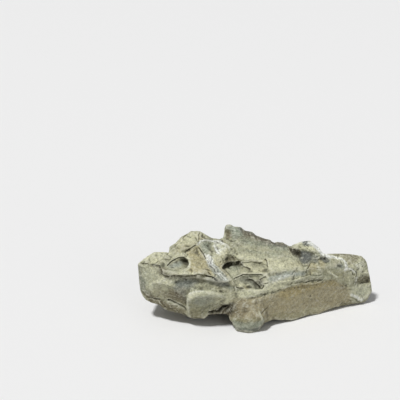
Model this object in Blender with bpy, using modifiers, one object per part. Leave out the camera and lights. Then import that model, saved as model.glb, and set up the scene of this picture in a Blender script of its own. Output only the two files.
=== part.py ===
"""One piece of dragon stone, a weathered lump of layered clay stone. Metres, +Z up.

The front of the stone faces -Y and its length runs along X. The lists below are in millimetres,
measured from a point on the ground below the stone's front edge: x to the right, y back into the
stone and z up. The finished stone is moved so that the origin lies on the ground at the middle of
its bounding box.
"""

import math

import bpy
import bmesh
from mathutils import Matrix, Vector

MM = 0.001

# Driving dimensions, in millimetres
BLOCK_GRAIN = 2.0       # the grid in which the blocks grow together
WORN_GRAIN = 1.5        # the grid in which the hollowed stone is worn down
LUMP_SIZE = 34
LUMP_HEIGHT = 3.2
BED_LENGTH = 55
BED_THICKNESS = 9
BED_HEIGHT = 3.0
REST_CUT = 0.8          # how much the feet lose where they stand
GROUND_SIZE = 400

BED_TILT = (14, 7, 0)   # degrees about X, Y and Z
SMOOTHING = 0.5
BLOCK_ROUNDING = 2      # passes
RIM_ROUNDING = 1
TRIANGLES = 8800        # what the finished stone keeps

# The blocks that the stone is made of: the corners of each one, as (x, y, z)
BLOCKS = {
    "core": [
        (-88, 30, 26), (-84, 48, 16), (-40, 26, 20), (-28, 44, 8), (20, 26, 6), (84, 56, 4),
        (100, 82, 6), (-84, 74, 8), (-56, 82, 0), (60, 94, 0), (-92, 40, 52), (-80, 72, 48),
        (92, 84, 36), (60, 42, 46), (-40, 16, 50), (20, 26, 46), (0, 92, 30), (-30, 88, 40),
    ],
    "right_block": [
        (5, 8, 3), (19, 20, 3), (36, 26, 0), (63, 40, 0), (81, 50, 1), (105, 58, 2), (112, 61, 6),
        (117, 62, 12), (116, 64, 19), (112, 65, 36), (108, 66, 44), (102, 66, 49), (92, 63, 52),
        (82, 61, 53), (72, 60, 54), (80, 92, 14), (98, 88, 32), (70, 86, 44), (-22, 4, 31),
        (-11, 5, 35), (-2, 6, 39), (7, 10, 44), (16, 14, 48), (30, 20, 51), (45, 27, 50),
        (60, 34, 50), (72, 41, 50), (80, 45, 47), (100, 55, 36), (-14, 10, 12),
    ],
    "foot": [
        (-25, 5, 13), (-23, 4, 5), (-19, 3, 1), (-8, 0, 0), (3, 4, 0), (6, 7, 3), (-18, 18, 0),
        (-4, 24, 0), (8, 20, 3), (13, 8, 22), (-24, 6, 18), (-22, 5, 28), (-24, 22, 16),
        (10, 26, 20), (0, 2, 28),
    ],
    "middle_lobe": [
        (-65, 4, 34), (-61, 3, 40), (-52, 2, 43), (-38, 3, 42), (-29, 4, 38), (-24, 6, 31),
        (-29, 8, 24), (-41, 9, 17), (-62, 7, 20), (-61, 8, 13), (-55, 7, 11), (-48, 8, 12),
        (-43, 13, 14), (-60, 36, 10), (-30, 36, 18), (-26, 26, 44), (-60, 26, 48), (-50, 4, 24),
    ],
    "throat": [
        (-68, 11, 53), (-40, 10, 51), (-20, 8, 45), (-60, 10, 38), (-24, 9, 30), (-60, 44, 36),
        (4, 9, 42), (-10, 40, 30), (-60, 44, 54), (10, 30, 50), (-8, 7, 36),
    ],
    "under_shelf": [
        (-48, 13, 14), (-27, 11, 15), (-48, 12, 28), (-22, 9, 30), (-44, 44, 12), (-24, 44, 12),
        (-30, 44, 30),
    ],
    "left_lobe": [
        (-109, 35, 52), (-101, 27, 55), (-92, 19, 56), (-84, 12, 52), (-64, 11, 52), (-109, 31, 40),
        (-97, 19, 39), (-82, 11, 40), (-62, 9, 34), (-106, 29, 25), (-103, 27, 21), (-98, 25, 19),
        (-90, 21, 18), (-84, 19, 15), (-77, 17, 14), (-60, 13, 13), (-60, 36, 12), (-90, 50, 18),
        (-103, 56, 30), (-105, 54, 48), (-60, 44, 52),
    ],
    "left_bed": [
        (-110, 32, 55), (-103, 26, 59), (-93, 16, 62), (-86, 9, 57), (-65, 6, 56), (-52, 6, 56),
        (-38, 7, 53), (-22, 6, 46), (-109, 36, 51), (-105, 31, 60), (-99, 35, 63), (-95, 38, 64),
        (-81, 41, 65), (-103, 56, 50), (-82, 72, 50), (-44, 20, 60), (-88, 26, 60), (-30, 30, 50),
        (-66, 10, 60), (-40, 50, 62),
    ],
    "left_peak": [
        (-82, 40, 64), (-81, 42, 68), (-74, 44, 72), (-68, 47, 78), (-61, 50, 81), (-52, 51, 81),
        (-47, 50, 78), (-41, 49, 74), (-33, 48, 73), (-74, 22, 61), (-44, 14, 58), (-62, 70, 66),
        (-80, 70, 54), (-30, 70, 64), (-50, 40, 40), (-30, 14, 56),
    ],
    "middle_bed": [
        (-33, 48, 73), (-30, 50, 77), (-14, 53, 84), (-8, 53, 80), (1, 54, 77), (7, 54, 75),
        (13, 54, 70), (22, 54, 69), (31, 51, 66), (-40, 14, 58), (-36, 8, 53), (-22, 6, 46),
        (-10, 8, 42), (6, 11, 46), (16, 15, 50), (30, 22, 53), (40, 30, 53), (-28, 72, 68),
        (4, 78, 66), (36, 80, 58), (44, 44, 52), (0, 60, 30),
    ],
    "knob": [
        (-30, 49, 81), (-30, 51, 86), (-27, 53, 88), (-22, 53, 88), (-13, 54, 85), (-29, 42, 72),
        (-13, 42, 74), (-28, 64, 78), (-12, 68, 78), (-20, 38, 64), (-6, 58, 76),
    ],
    "right_peak": [
        (33, 49, 66), (42, 49, 70), (48, 49, 72), (52, 49, 72), (58, 49, 66), (62, 49, 62),
        (66, 49, 59), (75, 47, 52), (80, 47, 47), (40, 66, 62), (60, 68, 56), (50, 38, 52),
        (72, 44, 47), (36, 56, 48), (64, 38, 50),
    ],
    "back_swell": [
        (-70, 78, 40), (-40, 92, 34), (-10, 96, 26), (20, 96, 36), (50, 96, 26), (76, 94, 28),
        (-62, 86, 10), (30, 93, 6), (0, 62, 20), (-30, 80, 58), (20, 84, 56),
    ],
    "back_bed": [
        (-64, 58, 68), (-30, 60, 72), (10, 66, 68), (36, 70, 60), (-66, 76, 58), (-30, 85, 58),
        (12, 90, 58), (46, 87, 50), (-50, 60, 40), (30, 60, 40), (-70, 66, 50),
    ],
    "back_lobe": [
        (-68, 82, 16), (-44, 93, 6), (-20, 96, 12), (-62, 88, 30), (-36, 100, 30), (-14, 99, 22),
        (-40, 66, 8), (-40, 70, 36), (-30, 100, 14),
    ],
    "back_shelf": [
        (12, 98, 12), (58, 97, 10), (20, 101, 20), (66, 98, 24), (42, 102, 18), (22, 78, 12),
        (60, 78, 24), (74, 92, 16),
    ],
}

# The hollows worn into it: centre, half lengths along the hollow's own axes, and the turns in
# degrees that its long first axis takes from X
HOLLOWS = {
    "left_pocket": ((-77, 20, 64), (15, 7, 7), (0, -6, 28)),
    "left_pocket_end": ((-68, 26, 64), (9, 7, 8), (0, 0, 20)),
    "eye_pocket": ((-21, 25, 62), (11, 10, 10), (0, 0, 30)),
    "eye_trough": ((-6, 19, 58), (20, 8, 6), (0, 8, 8)),
    "lower_pocket": ((-7, 8, 48), (14, 6, 6), (0, 6, 4)),
    "peak_hollow": ((43, 39, 60), (11, 7, 7), (0, 24, 10)),
    "end_notch": ((116, 52, 25), (9, 9, 5), (0, -20, 50)),
    "back_cave": ((-34, 101, 46), (16, 12, 8), (0, 12, 0)),
    "back_slot": ((34, 103, 38), (20, 9, 6), (0, -9, -6)),
    "back_socket": ((4, 96, 62), (9, 10, 8), (20, 0, 0)),
    "top_socket": ((-62, 70, 74), (10, 8, 9), (0, 20, 20)),
    "top_dish": ((72, 74, 58), (15, 9, 9), (0, 10, 10)),
    "left_end_socket": ((-111, 44, 42), (8, 10, 7), (0, 0, 20)),
}


def clear_scene():
    for old in list(bpy.data.objects):
        bpy.data.objects.remove(old, do_unlink=True)


def new_collection(name):
    collection = bpy.data.collections.new(name)
    bpy.context.scene.collection.children.link(collection)
    return collection


def new_object(name, bm, collection):
    mesh = bpy.data.meshes.new(name)
    bm.to_mesh(mesh)
    bm.free()
    obj = bpy.data.objects.new(name, mesh)
    collection.objects.link(obj)
    return obj


def add_modifier(obj, kind, name, **values):
    modifier = obj.modifiers.new(name, kind)
    for key, value in values.items():
        setattr(modifier, key, value)
    return modifier


def add_hull(bm, corners):
    """Adds the closed block that the corners span."""
    made = [bm.verts.new(Vector(corner) * MM) for corner in corners]
    hull = bmesh.ops.convex_hull(bm, input=made)
    inside = [v for v in hull["geom_interior"] if isinstance(v, bmesh.types.BMVert)]
    bmesh.ops.delete(bm, geom=inside, context="VERTS")


def make_blocks(collection):
    bm = bmesh.new()
    for corners in BLOCKS.values():
        add_hull(bm, corners)
    return new_object("stone", bm, collection)


def make_hollow(name, centre, half_lengths, turns, collection):
    """An egg-shaped cutter for one hollow."""
    bm = bmesh.new()
    bmesh.ops.create_icosphere(bm, subdivisions=3, radius=1.0)
    angles = [math.radians(turn) for turn in turns]
    place = Matrix.Translation(Vector(centre) * MM)
    for axis, angle in zip("XYZ", angles):
        place = place @ Matrix.Rotation(angle, 4, axis)
    place = place @ Matrix.Diagonal((*(Vector(half_lengths) * MM), 1.0))
    bmesh.ops.transform(bm, matrix=place, verts=bm.verts)
    cutter = new_object(name, bm, collection)
    cutter.hide_render = True
    cutter.display_type = "WIRE"
    return cutter


def make_ground(collection):
    """The box below the level that the stone rests at, which cuts its feet flat."""
    bm = bmesh.new()
    bmesh.ops.create_cube(bm, size=GROUND_SIZE * MM)
    depth = GROUND_SIZE / 2 - REST_CUT
    bmesh.ops.translate(bm, verts=bm.verts, vec=(0, 0, -depth * MM))
    cutter = new_object("ground", bm, collection)
    cutter.hide_render = True
    cutter.display_type = "WIRE"
    return cutter


def noise(name, size, depth):
    texture = bpy.data.textures.new(name, "CLOUDS")
    texture.noise_scale = size
    texture.noise_depth = depth
    return texture


def shape_stone(stone, hollows, ground, collection):
    """The modifiers that grow the blocks together, wear them down and hollow them out."""
    bedding = bpy.data.objects.new("bedding", None)
    bedding.rotation_euler = [math.radians(turn) for turn in BED_TILT]
    bedding.scale = (BED_LENGTH * MM, BED_LENGTH * MM, BED_THICKNESS * MM)
    collection.objects.link(bedding)

    add_modifier(stone, "REMESH", "grow together", mode="VOXEL", voxel_size=BLOCK_GRAIN * MM)
    add_modifier(stone, "SMOOTH", "round off", factor=SMOOTHING, iterations=BLOCK_ROUNDING)
    add_modifier(
        stone, "DISPLACE", "lumps", texture=noise("lumps", LUMP_SIZE * MM, 2),
        texture_coords="LOCAL", strength=LUMP_HEIGHT * MM, mid_level=0.5,
    )
    add_modifier(
        stone, "DISPLACE", "beds", texture=noise("beds", 1.0, 1),
        texture_coords="OBJECT", texture_coords_object=bedding,
        strength=BED_HEIGHT * MM, mid_level=0.5,
    )
    add_modifier(
        stone, "BOOLEAN", "hollow out", operation="DIFFERENCE", solver="EXACT",
        operand_type="COLLECTION", collection=hollows,
    )
    add_modifier(stone, "REMESH", "weather", mode="VOXEL", voxel_size=WORN_GRAIN * MM)
    add_modifier(stone, "SMOOTH", "wear the rims", factor=SMOOTHING, iterations=RIM_ROUNDING)


def bake(obj):
    """Replaces an object's mesh and modifiers with the mesh that they make."""
    shaped = obj.evaluated_get(bpy.context.evaluated_depsgraph_get())
    mesh = bpy.data.meshes.new_from_object(shaped)
    obj.modifiers.clear()
    obj.data = mesh
    return mesh


def thin_out(stone):
    """Keeps the number of triangles that the shape needs."""
    mesh = bake(stone)
    mesh.calc_loop_triangles()
    ratio = TRIANGLES / len(mesh.loop_triangles)
    add_modifier(stone, "DECIMATE", "thin out", ratio=ratio, use_collapse_triangulate=True)
    bake(stone)


def centre_on_ground(mesh):
    """Moves the origin to the ground at the middle of the bounding box."""
    xs, ys, zs = zip(*(vertex.co for vertex in mesh.vertices))
    middle = Vector((min(xs) + max(xs), min(ys) + max(ys), 2 * min(zs))) / 2
    mesh.transform(Matrix.Translation(-middle))


def clay_stone():
    material = bpy.data.materials.new("clay_stone")
    material.use_nodes = True
    shader = material.node_tree.nodes["Principled BSDF"]
    shader.inputs["Base Color"].default_value = (0.33, 0.32, 0.24, 1.0)
    shader.inputs["Roughness"].default_value = 0.88
    shader.inputs["Metallic"].default_value = 0.0
    return material


def main():
    clear_scene()
    parts = new_collection("dragon_stone")
    hollows = new_collection("hollows")
    guides = new_collection("guides")
    stone = make_blocks(parts)
    for name, (centre, half_lengths, turns) in HOLLOWS.items():
        make_hollow(name, centre, half_lengths, turns, hollows)
    ground = make_ground(guides)
    shape_stone(stone, hollows, ground, guides)
    thin_out(stone)
    add_modifier(stone, "BOOLEAN", "rest", operation="DIFFERENCE", solver="EXACT", object=ground)
    mesh = bake(stone)
    centre_on_ground(mesh)
    mesh.materials.clear()
    mesh.materials.append(clay_stone())


main()
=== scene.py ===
"""The looks of one piece of dragon stone: its worn shape, its clay colours with painted light and shade, and
where it is seen from.

The solid model gives the stone's overall form. A copy of it is worn to a fine mesh, its faces are
split flat, its pockets, ledges and cracks are cut, and a small node tree weathers its beds and flakes.
Lengths are in millimetres. Every feature lies where a sight of the stone sees it, in a frame 400
across and 400 down, and it is let down from there onto the surface.
"""

import math

import bpy
import bmesh
import numpy as np
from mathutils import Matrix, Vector
from mathutils.kdtree import KDTree


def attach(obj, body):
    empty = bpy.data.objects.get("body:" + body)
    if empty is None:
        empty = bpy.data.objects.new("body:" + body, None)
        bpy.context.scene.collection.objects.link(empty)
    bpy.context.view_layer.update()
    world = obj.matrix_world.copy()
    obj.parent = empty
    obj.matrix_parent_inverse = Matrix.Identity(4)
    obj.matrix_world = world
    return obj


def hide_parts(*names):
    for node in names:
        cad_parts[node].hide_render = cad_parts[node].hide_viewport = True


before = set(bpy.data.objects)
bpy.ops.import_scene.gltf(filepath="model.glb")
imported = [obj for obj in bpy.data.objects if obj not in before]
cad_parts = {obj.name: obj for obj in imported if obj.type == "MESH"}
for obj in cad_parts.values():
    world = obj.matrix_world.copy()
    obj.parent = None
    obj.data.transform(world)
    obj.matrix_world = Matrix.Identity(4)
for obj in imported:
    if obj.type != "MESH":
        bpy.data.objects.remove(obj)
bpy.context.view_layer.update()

MM = 0.001
SEED = 11

# Where the stone is seen from
LENS = 80.0
SENSOR = 36.0
FRAME_SIZE = 400
PIXELS_PER_SLOPE = LENS / SENSOR * FRAME_SIZE
VIEW_DISTANCE = 830.0
FRONT_AIM = np.array([-55.0, 7.9, 107.7])
MIDDLE = np.array([0.0, 0.0, 40.0])

# How fine the mesh is
FIRST_GRAIN = 1.0
FINE_GRAIN = 0.62
TRIANGLES = 192000

# Farther off than anything in the frame
FAR = 1e9

# How far behind the nearest skin a point still counts as seen: for shaping, and for the clays
SHAPED_DEPTH = 6.0
STAINED_DEPTH = 14.0

# A line is laid down only where the skin faces it this much
GRAZING = -0.12

# Cracks lean this much in under one side
CRACK_LEAN = 0.25

# A flat split or chip needs this many points
FEWEST_POINTS = 12

# Flat chips: how many, how far each reaches, which share of its skin stays and how flat it is
CHIPS = [(260, (7, 13), 0.62, 0.85), (900, (2.5, 6), 0.6, 0.9)]

# Random broken beds on each side that the front hides, and their cracks
HIDDEN_BEDS = 14
BED_LENGTHS = (0.15, 0.5)
BED_SLOPES = (0.12, 0.16)
BED_STEPS = 6
BED_WAVER = 1.5
BED_STANDS = (0.3, 0.9)
BED_DROPS = (0.8, 2.2)
BED_WIDTHS = (4, 7)
BED_CRACK_WIDTH = 1.1
BED_CRACK_DEPTHS = (0.8, 2.4)

# The ring that gives a pocket's level, and how far from it the pocket's own skin may lie
RING_WIDTH = 9.0
POCKET_REACH = 20

# How far the skin may stand out from the skin around it, on the front and elsewhere
FRONT_STAND = 3.6
OTHER_STAND = 1.5

# How thin a fin is when it starts to be drawn in, and when it is all drawn in
FIN_STARTS = 4.0
FIN_ENDS = 2.6

# Rows of the frame between which the two ends are drawn sideways to the outline
END_ROWS = (262, 302)

# How the relief is told apart: how often the skin is evened to compare with, and how high it stands
RELIEFS = {"crisp": (3, 0.30), "proud": (14, 0.80), "broad": (90, 2.4)}

# The beds of the stone dip a little towards one end
BED_TILT = (math.radians(14), math.radians(7), 0)
SLANT = (0, math.radians(-38), math.radians(12))

# Thin spurs that are rubbed down: where, how far around and how many times
SPURS = {
    "behind_peak": ((38.0, 34.0, 48.6), 8.0, 200),
    "left_end": ((-99.5, -30.5, 59.3), 6.0, 40),
    "left_crest": ((-94.6, -34.9, 61.7), 5.0, 30),
}

# Flat splits of the front: how flat each is, and its corners in the frame
SPLITS = {
    "sandy_face": (0.8,
        [(256, 299), (285, 289.5), (312, 286.5), (334, 281), (350, 289), (350, 303), (335, 307), (319, 313),
         (300, 317), (280, 319), (268, 318), (264, 308)]),
    "end_low": (0.8, [(351, 287), (369, 285), (371, 292), (366, 300), (352, 303)]),
    "end_top": (0.7, [(346, 271), (358, 264), (363, 262), (366, 274), (357, 277), (354, 284), (348, 286)]),
    "lobe_pale": (0.7, [(141, 267), (156, 268), (160, 277), (158, 284), (150, 288), (142, 284)]),
    "lobe_cream": (0.8, [(160, 278), (172, 278), (170, 285), (158, 285)]),
    "lobe_dark": (0.8, [(173, 279), (190, 279), (206, 281), (214, 287), (190, 289), (184, 297), (176, 289)]),
    "lobe_brown": (0.9,
        [(150, 287), (156, 284.4), (164, 285), (178, 290.4), (185, 299), (185, 306), (168, 299.4),
         (152, 297)]),
    "foot_front": (0.5, [(232, 304), (246, 300), (255, 299), (255, 320), (248, 324), (234, 322)]),
    "foot_low": (0.7, [(235, 323), (248, 325), (262, 322), (257, 331), (240, 331)]),
    "lobe_slab": (0.8, [(156, 302), (168, 302), (184, 309), (186, 315), (172, 311), (160, 305)]),
    "knuckle_front": (0.5,
        [(187.6, 295), (195, 292), (208, 291.4), (220, 295), (230, 300), (222, 305), (208, 311),
         (189, 313)]),
    "bridge": (0.7, [(189, 253), (197, 248), (204, 260), (206, 272), (190, 273), (189, 266)]),
    "plate": (0.8, [(199, 242), (212, 242), (214, 252), (207, 256), (201, 252)]),
    "left_bed": (0.7, [(143, 262), (155, 254), (169, 253), (176, 257), (168, 263), (158, 263)]),
    "peak_left": (0.8, [(170, 250), (182, 239), (184, 249), (175, 253)]),
    "peak_front": (0.8, [(184, 237), (192, 237), (195, 242), (186, 249)]),
    "peak_mauve": (0.8,
        [(195.6, 236.4), (199, 233.6), (204, 235), (209, 239.4), (203, 240.6), (197.6, 242)]),
    "peak_back": (0.8,
        [(171, 246), (180, 238), (188, 233.6), (194, 233.6), (194.6, 238), (186, 244), (176, 247)]),
    "tail": (0.7, [(219, 288), (235, 286), (238, 298), (232, 302), (221, 297)]),
    "wall_top": (0.6, [(238, 230), (262, 240), (284, 246), (282, 252), (250, 248), (236, 243)]),
    "wall_low": (0.6, [(234, 250), (262, 252), (284, 256), (270, 262), (262, 260), (240, 259)]),
    "wall_right": (0.7, [(269, 263), (288, 258), (302, 266), (300, 270), (285, 271), (270, 274)]),
    "terrace": (0.7, [(244, 265), (264, 264), (265.5, 272), (252, 272)]),
    "peak_cap": (0.7, [(297, 246), (303, 242), (312, 242), (316, 248), (306, 249)]),
    "rim_band": (0.6, [(268, 278), (284, 274), (302, 273), (296, 279), (272, 284)]),
    "grey_green": (0.6, [(322, 266), (336, 268), (345, 272), (346, 284), (336, 278), (324, 272)]),
}

# Rims across which the rough pockets of the solid model are closed before finer ones are cut
HEALED = {
    "left_pocket": [(163, 269), (167, 259), (178, 253), (190, 253), (194, 262), (191, 271), (176, 272)],
    "eye": [
        (221, 267), (224, 254), (231, 247), (243, 249), (250, 257), (254, 264), (250, 271), (240, 276),
        (230, 278), (223, 273)],
    "lower_pocket": [(231, 281), (240, 275), (264, 273), (269, 278), (265, 291), (240, 291)],
    "peak": [(287, 247.5), (296, 247), (304, 248.6), (314, 251), (314, 263), (304, 266), (292, 259)],
    "tail": [(226, 296), (243, 294), (243, 306), (236, 312), (232, 306)],
    "under_knuckle": [
        (208.6, 313.4), (213, 311.4), (222, 307.6), (229, 305), (238, 303), (242, 310), (236, 317),
        (230, 318), (222, 317), (210, 317)],
    "lobe_brown": [
        (148, 291), (150, 286.6), (157, 284.4), (164, 285.2), (178, 290.6), (187, 299), (186.4, 304.6),
        (168, 299.2), (154, 298.4)],
    "face_left": [
        (246, 300), (262, 296.5), (280, 295), (296, 296), (295, 312), (278, 317), (266, 318), (256, 312),
        (248, 306)],
    "knuckle": [
        (188.4, 294), (195, 291.6), (208, 291.4), (220, 294.6), (229, 299.4), (222, 305), (209, 311.4),
        (204, 316.4), (196, 317.4), (190.6, 315.4)],
}

# Pockets: how soft the rim is, which way the deep part leans (right and up), the rim in the frame,
# and how deep the floor lies at points inside it; a depth below nothing swells out instead
POCKETS = {
    "left_pocket": (1.2, (0.25, 0.35),
        [(166.4, 266.8), (172.2, 261.4), (178.6, 258.0), (183.8, 257.4), (187, 260), (187.4, 264),
         (185.6, 267.4), (181.4, 268.8), (175.9, 268.6), (167.3, 267.8)],
        [(167.4, 267.2, 0.4), (172.6, 264.4, 1.6), (177, 261, 3.4), (182.6, 259.4, 9.0),
         (185.6, 261.6, 10.0), (185.4, 265, 6.0), (178, 265, 2.2), (176, 268, 0.5), (182, 267.6, 1.4)]),
    "toe": (6.0, (0, 0),
        [(229, 308), (246, 304), (265, 308), (264, 324), (258, 334), (237, 334), (230, 322)],
        [(247, 319.5, -3.4), (237, 319, -2.4), (258, 318, -2.4), (247, 331, -2.6), (239, 328, -1.6),
         (257, 328, -1.6), (246, 308, -0.6), (234, 310, -0.4), (260, 310, -0.6)]),
    "eye_wall": (1.8, (0, 0),
        [(223.2, 267), (224, 259.5), (227.4, 255.5), (230.8, 253.8), (234, 256), (237.4, 259.8),
         (239.6, 262.4), (235.7, 262.8), (231.5, 262.6), (228, 263.6)],
        [(225, 264, 3.4), (228, 258.6, 2.8), (231, 255, 0.8), (234, 258.6, 1.8), (231, 261.6, 2.4),
         (238, 261.6, 0.8)]),
    "eye_floor": (1.2, (0, 0.35),
        [(223, 268.2), (224.6, 265.2), (228, 263.2), (231.5, 262.3), (235.7, 262.6), (239, 262.6),
         (241.8, 264.4), (243.6, 267.4), (247.2, 267.8), (251.7, 270.2), (256, 274), (243.4, 274),
         (237, 276.8), (232, 279), (228.5, 275), (224.6, 270.4)],
        [(225.6, 266.6, 9.5), (229, 264.8, 10.5), (233, 264.0, 10.5), (237, 263.8, 9.5), (240.4, 265, 7.0),
         (242.6, 267, 3.4), (249, 270.2, 1.4), (228, 271, 4.8), (234, 269, 4.2), (240, 271, 1.8),
         (233, 276, 1.8), (246, 273, 0.4), (254, 273.4, 0.2)]),
    "lower_pocket": (1.4, (0, 0.2),
        [(232.5, 279.6), (237, 277.8), (243.4, 275), (249.7, 275.2), (256, 274.9), (261.2, 274.9),
         (264, 276.8), (267, 278), (263, 280.6), (261, 283.6), (262.6, 286.6), (260.4, 289), (252, 289.4),
         (245, 288.6), (236, 287)],
        [(235, 280.6, 1.6), (243, 277, 2.6), (250, 277, 3.4), (258, 276.6, 2.4), (264, 278, 0.8),
         (240, 283, 2.6), (248, 283, 4.4), (256, 285, 5.0), (241, 286.4, 1.8), (250, 288, 3.0),
         (259, 288, 4.0), (260, 280, 2.0)]),
    "peak_hollow": (2.0, (0, 0.2),
        [(289.6, 248.4), (296, 249.4), (301, 251), (303, 255), (298, 257.4), (293, 255)],
        [(293, 250.6, 3.0), (298, 252, 6.0), (300, 255, 5.0), (295, 254.6, 2.6)]),
    "peak_patch": (3.0, (0, 0),
        [(297, 250), (306, 249.4), (313, 252), (313.6, 259), (308, 264.6), (300, 263.6), (297, 257)],
        [(302, 252, 1.6), (309, 253.6, 1.6), (310, 259, 1.0), (304, 261, 0.3)]),
    "peak_side": (2.0, (0, 0),
        [(319.6, 255.6), (326, 257.2), (331, 262), (327, 264), (321, 261)],
        [(323, 258.4, 1.2), (328, 261.6, 1.2)]),
    "end_notch": (1.4, (0, 0),
        [(355.8, 283.6), (357.6, 278), (361, 274.6), (368.6, 274), (369.6, 282.2), (362, 284.4)],
        [(357.6, 279.4, 0.4), (362, 276.4, 0.4), (368, 276, 0.5), (358, 282.6, 1.6), (363, 282.6, 2.6),
         (368, 281.4, 2.4), (364, 279.6, 1.5)]),
    "under_knuckle": (1.3, (0, 0.15),
        [(208.2, 312.8), (213, 310.6), (220, 307.4), (226, 305.4), (230, 304.6), (229.4, 307), (226, 311.6),
         (221, 314.4), (213, 314.6)],
        [(211, 312.6, 3.4), (216, 310.4, 6.0), (221, 308.2, 6.2), (226, 306.6, 4.0), (229, 306, 1.0),
         (226, 309.6, 1.4), (221, 312.6, 2.4), (214, 313.8, 1.5)]),
}

# Scoops: the half width and the depth at each end, which way they lean, and their middle line
SCOOPS = {
    "end_dimple": ((1.6, 1.6), (1.6, 1.6), (0, 0.2), [(338.6, 266), (341.6, 267)]),
    "under_notch": ((1.6, 1.6), (2.2, 2.2), (0, 0.2), [(341, 305), (347, 304.6)]),
    "vein_dip": ((3.4, 3.4), (0.6, 0.7), (0, 0), [(215, 278), (223, 281), (229, 284.4)]),
    "knob_side": ((2.4, 3.0), (1.4, 1.4), (0, 0), [(226, 231), (228, 238)]),
    "knob_foot": ((1.5, 1.5), (1.8, 1.8), (0, 0.2), [(221, 240), (223, 242.4)]),
    "peak_slot": ((1.3, 1.3), (2.6, 2.6), (0, 0.2), [(186.4, 250.8), (190, 249.4)]),
    "under_slot": ((1.0, 1.6), (3.0, 4.0), (0, 0.4), [(211, 312.2), (218, 310), (226, 306.6)]),
    "black_hole": ((1.3, 1.3), (3.0, 3.0), (0, 0.1), [(248.3, 287.6), (251.4, 287.4)]),
}

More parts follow.
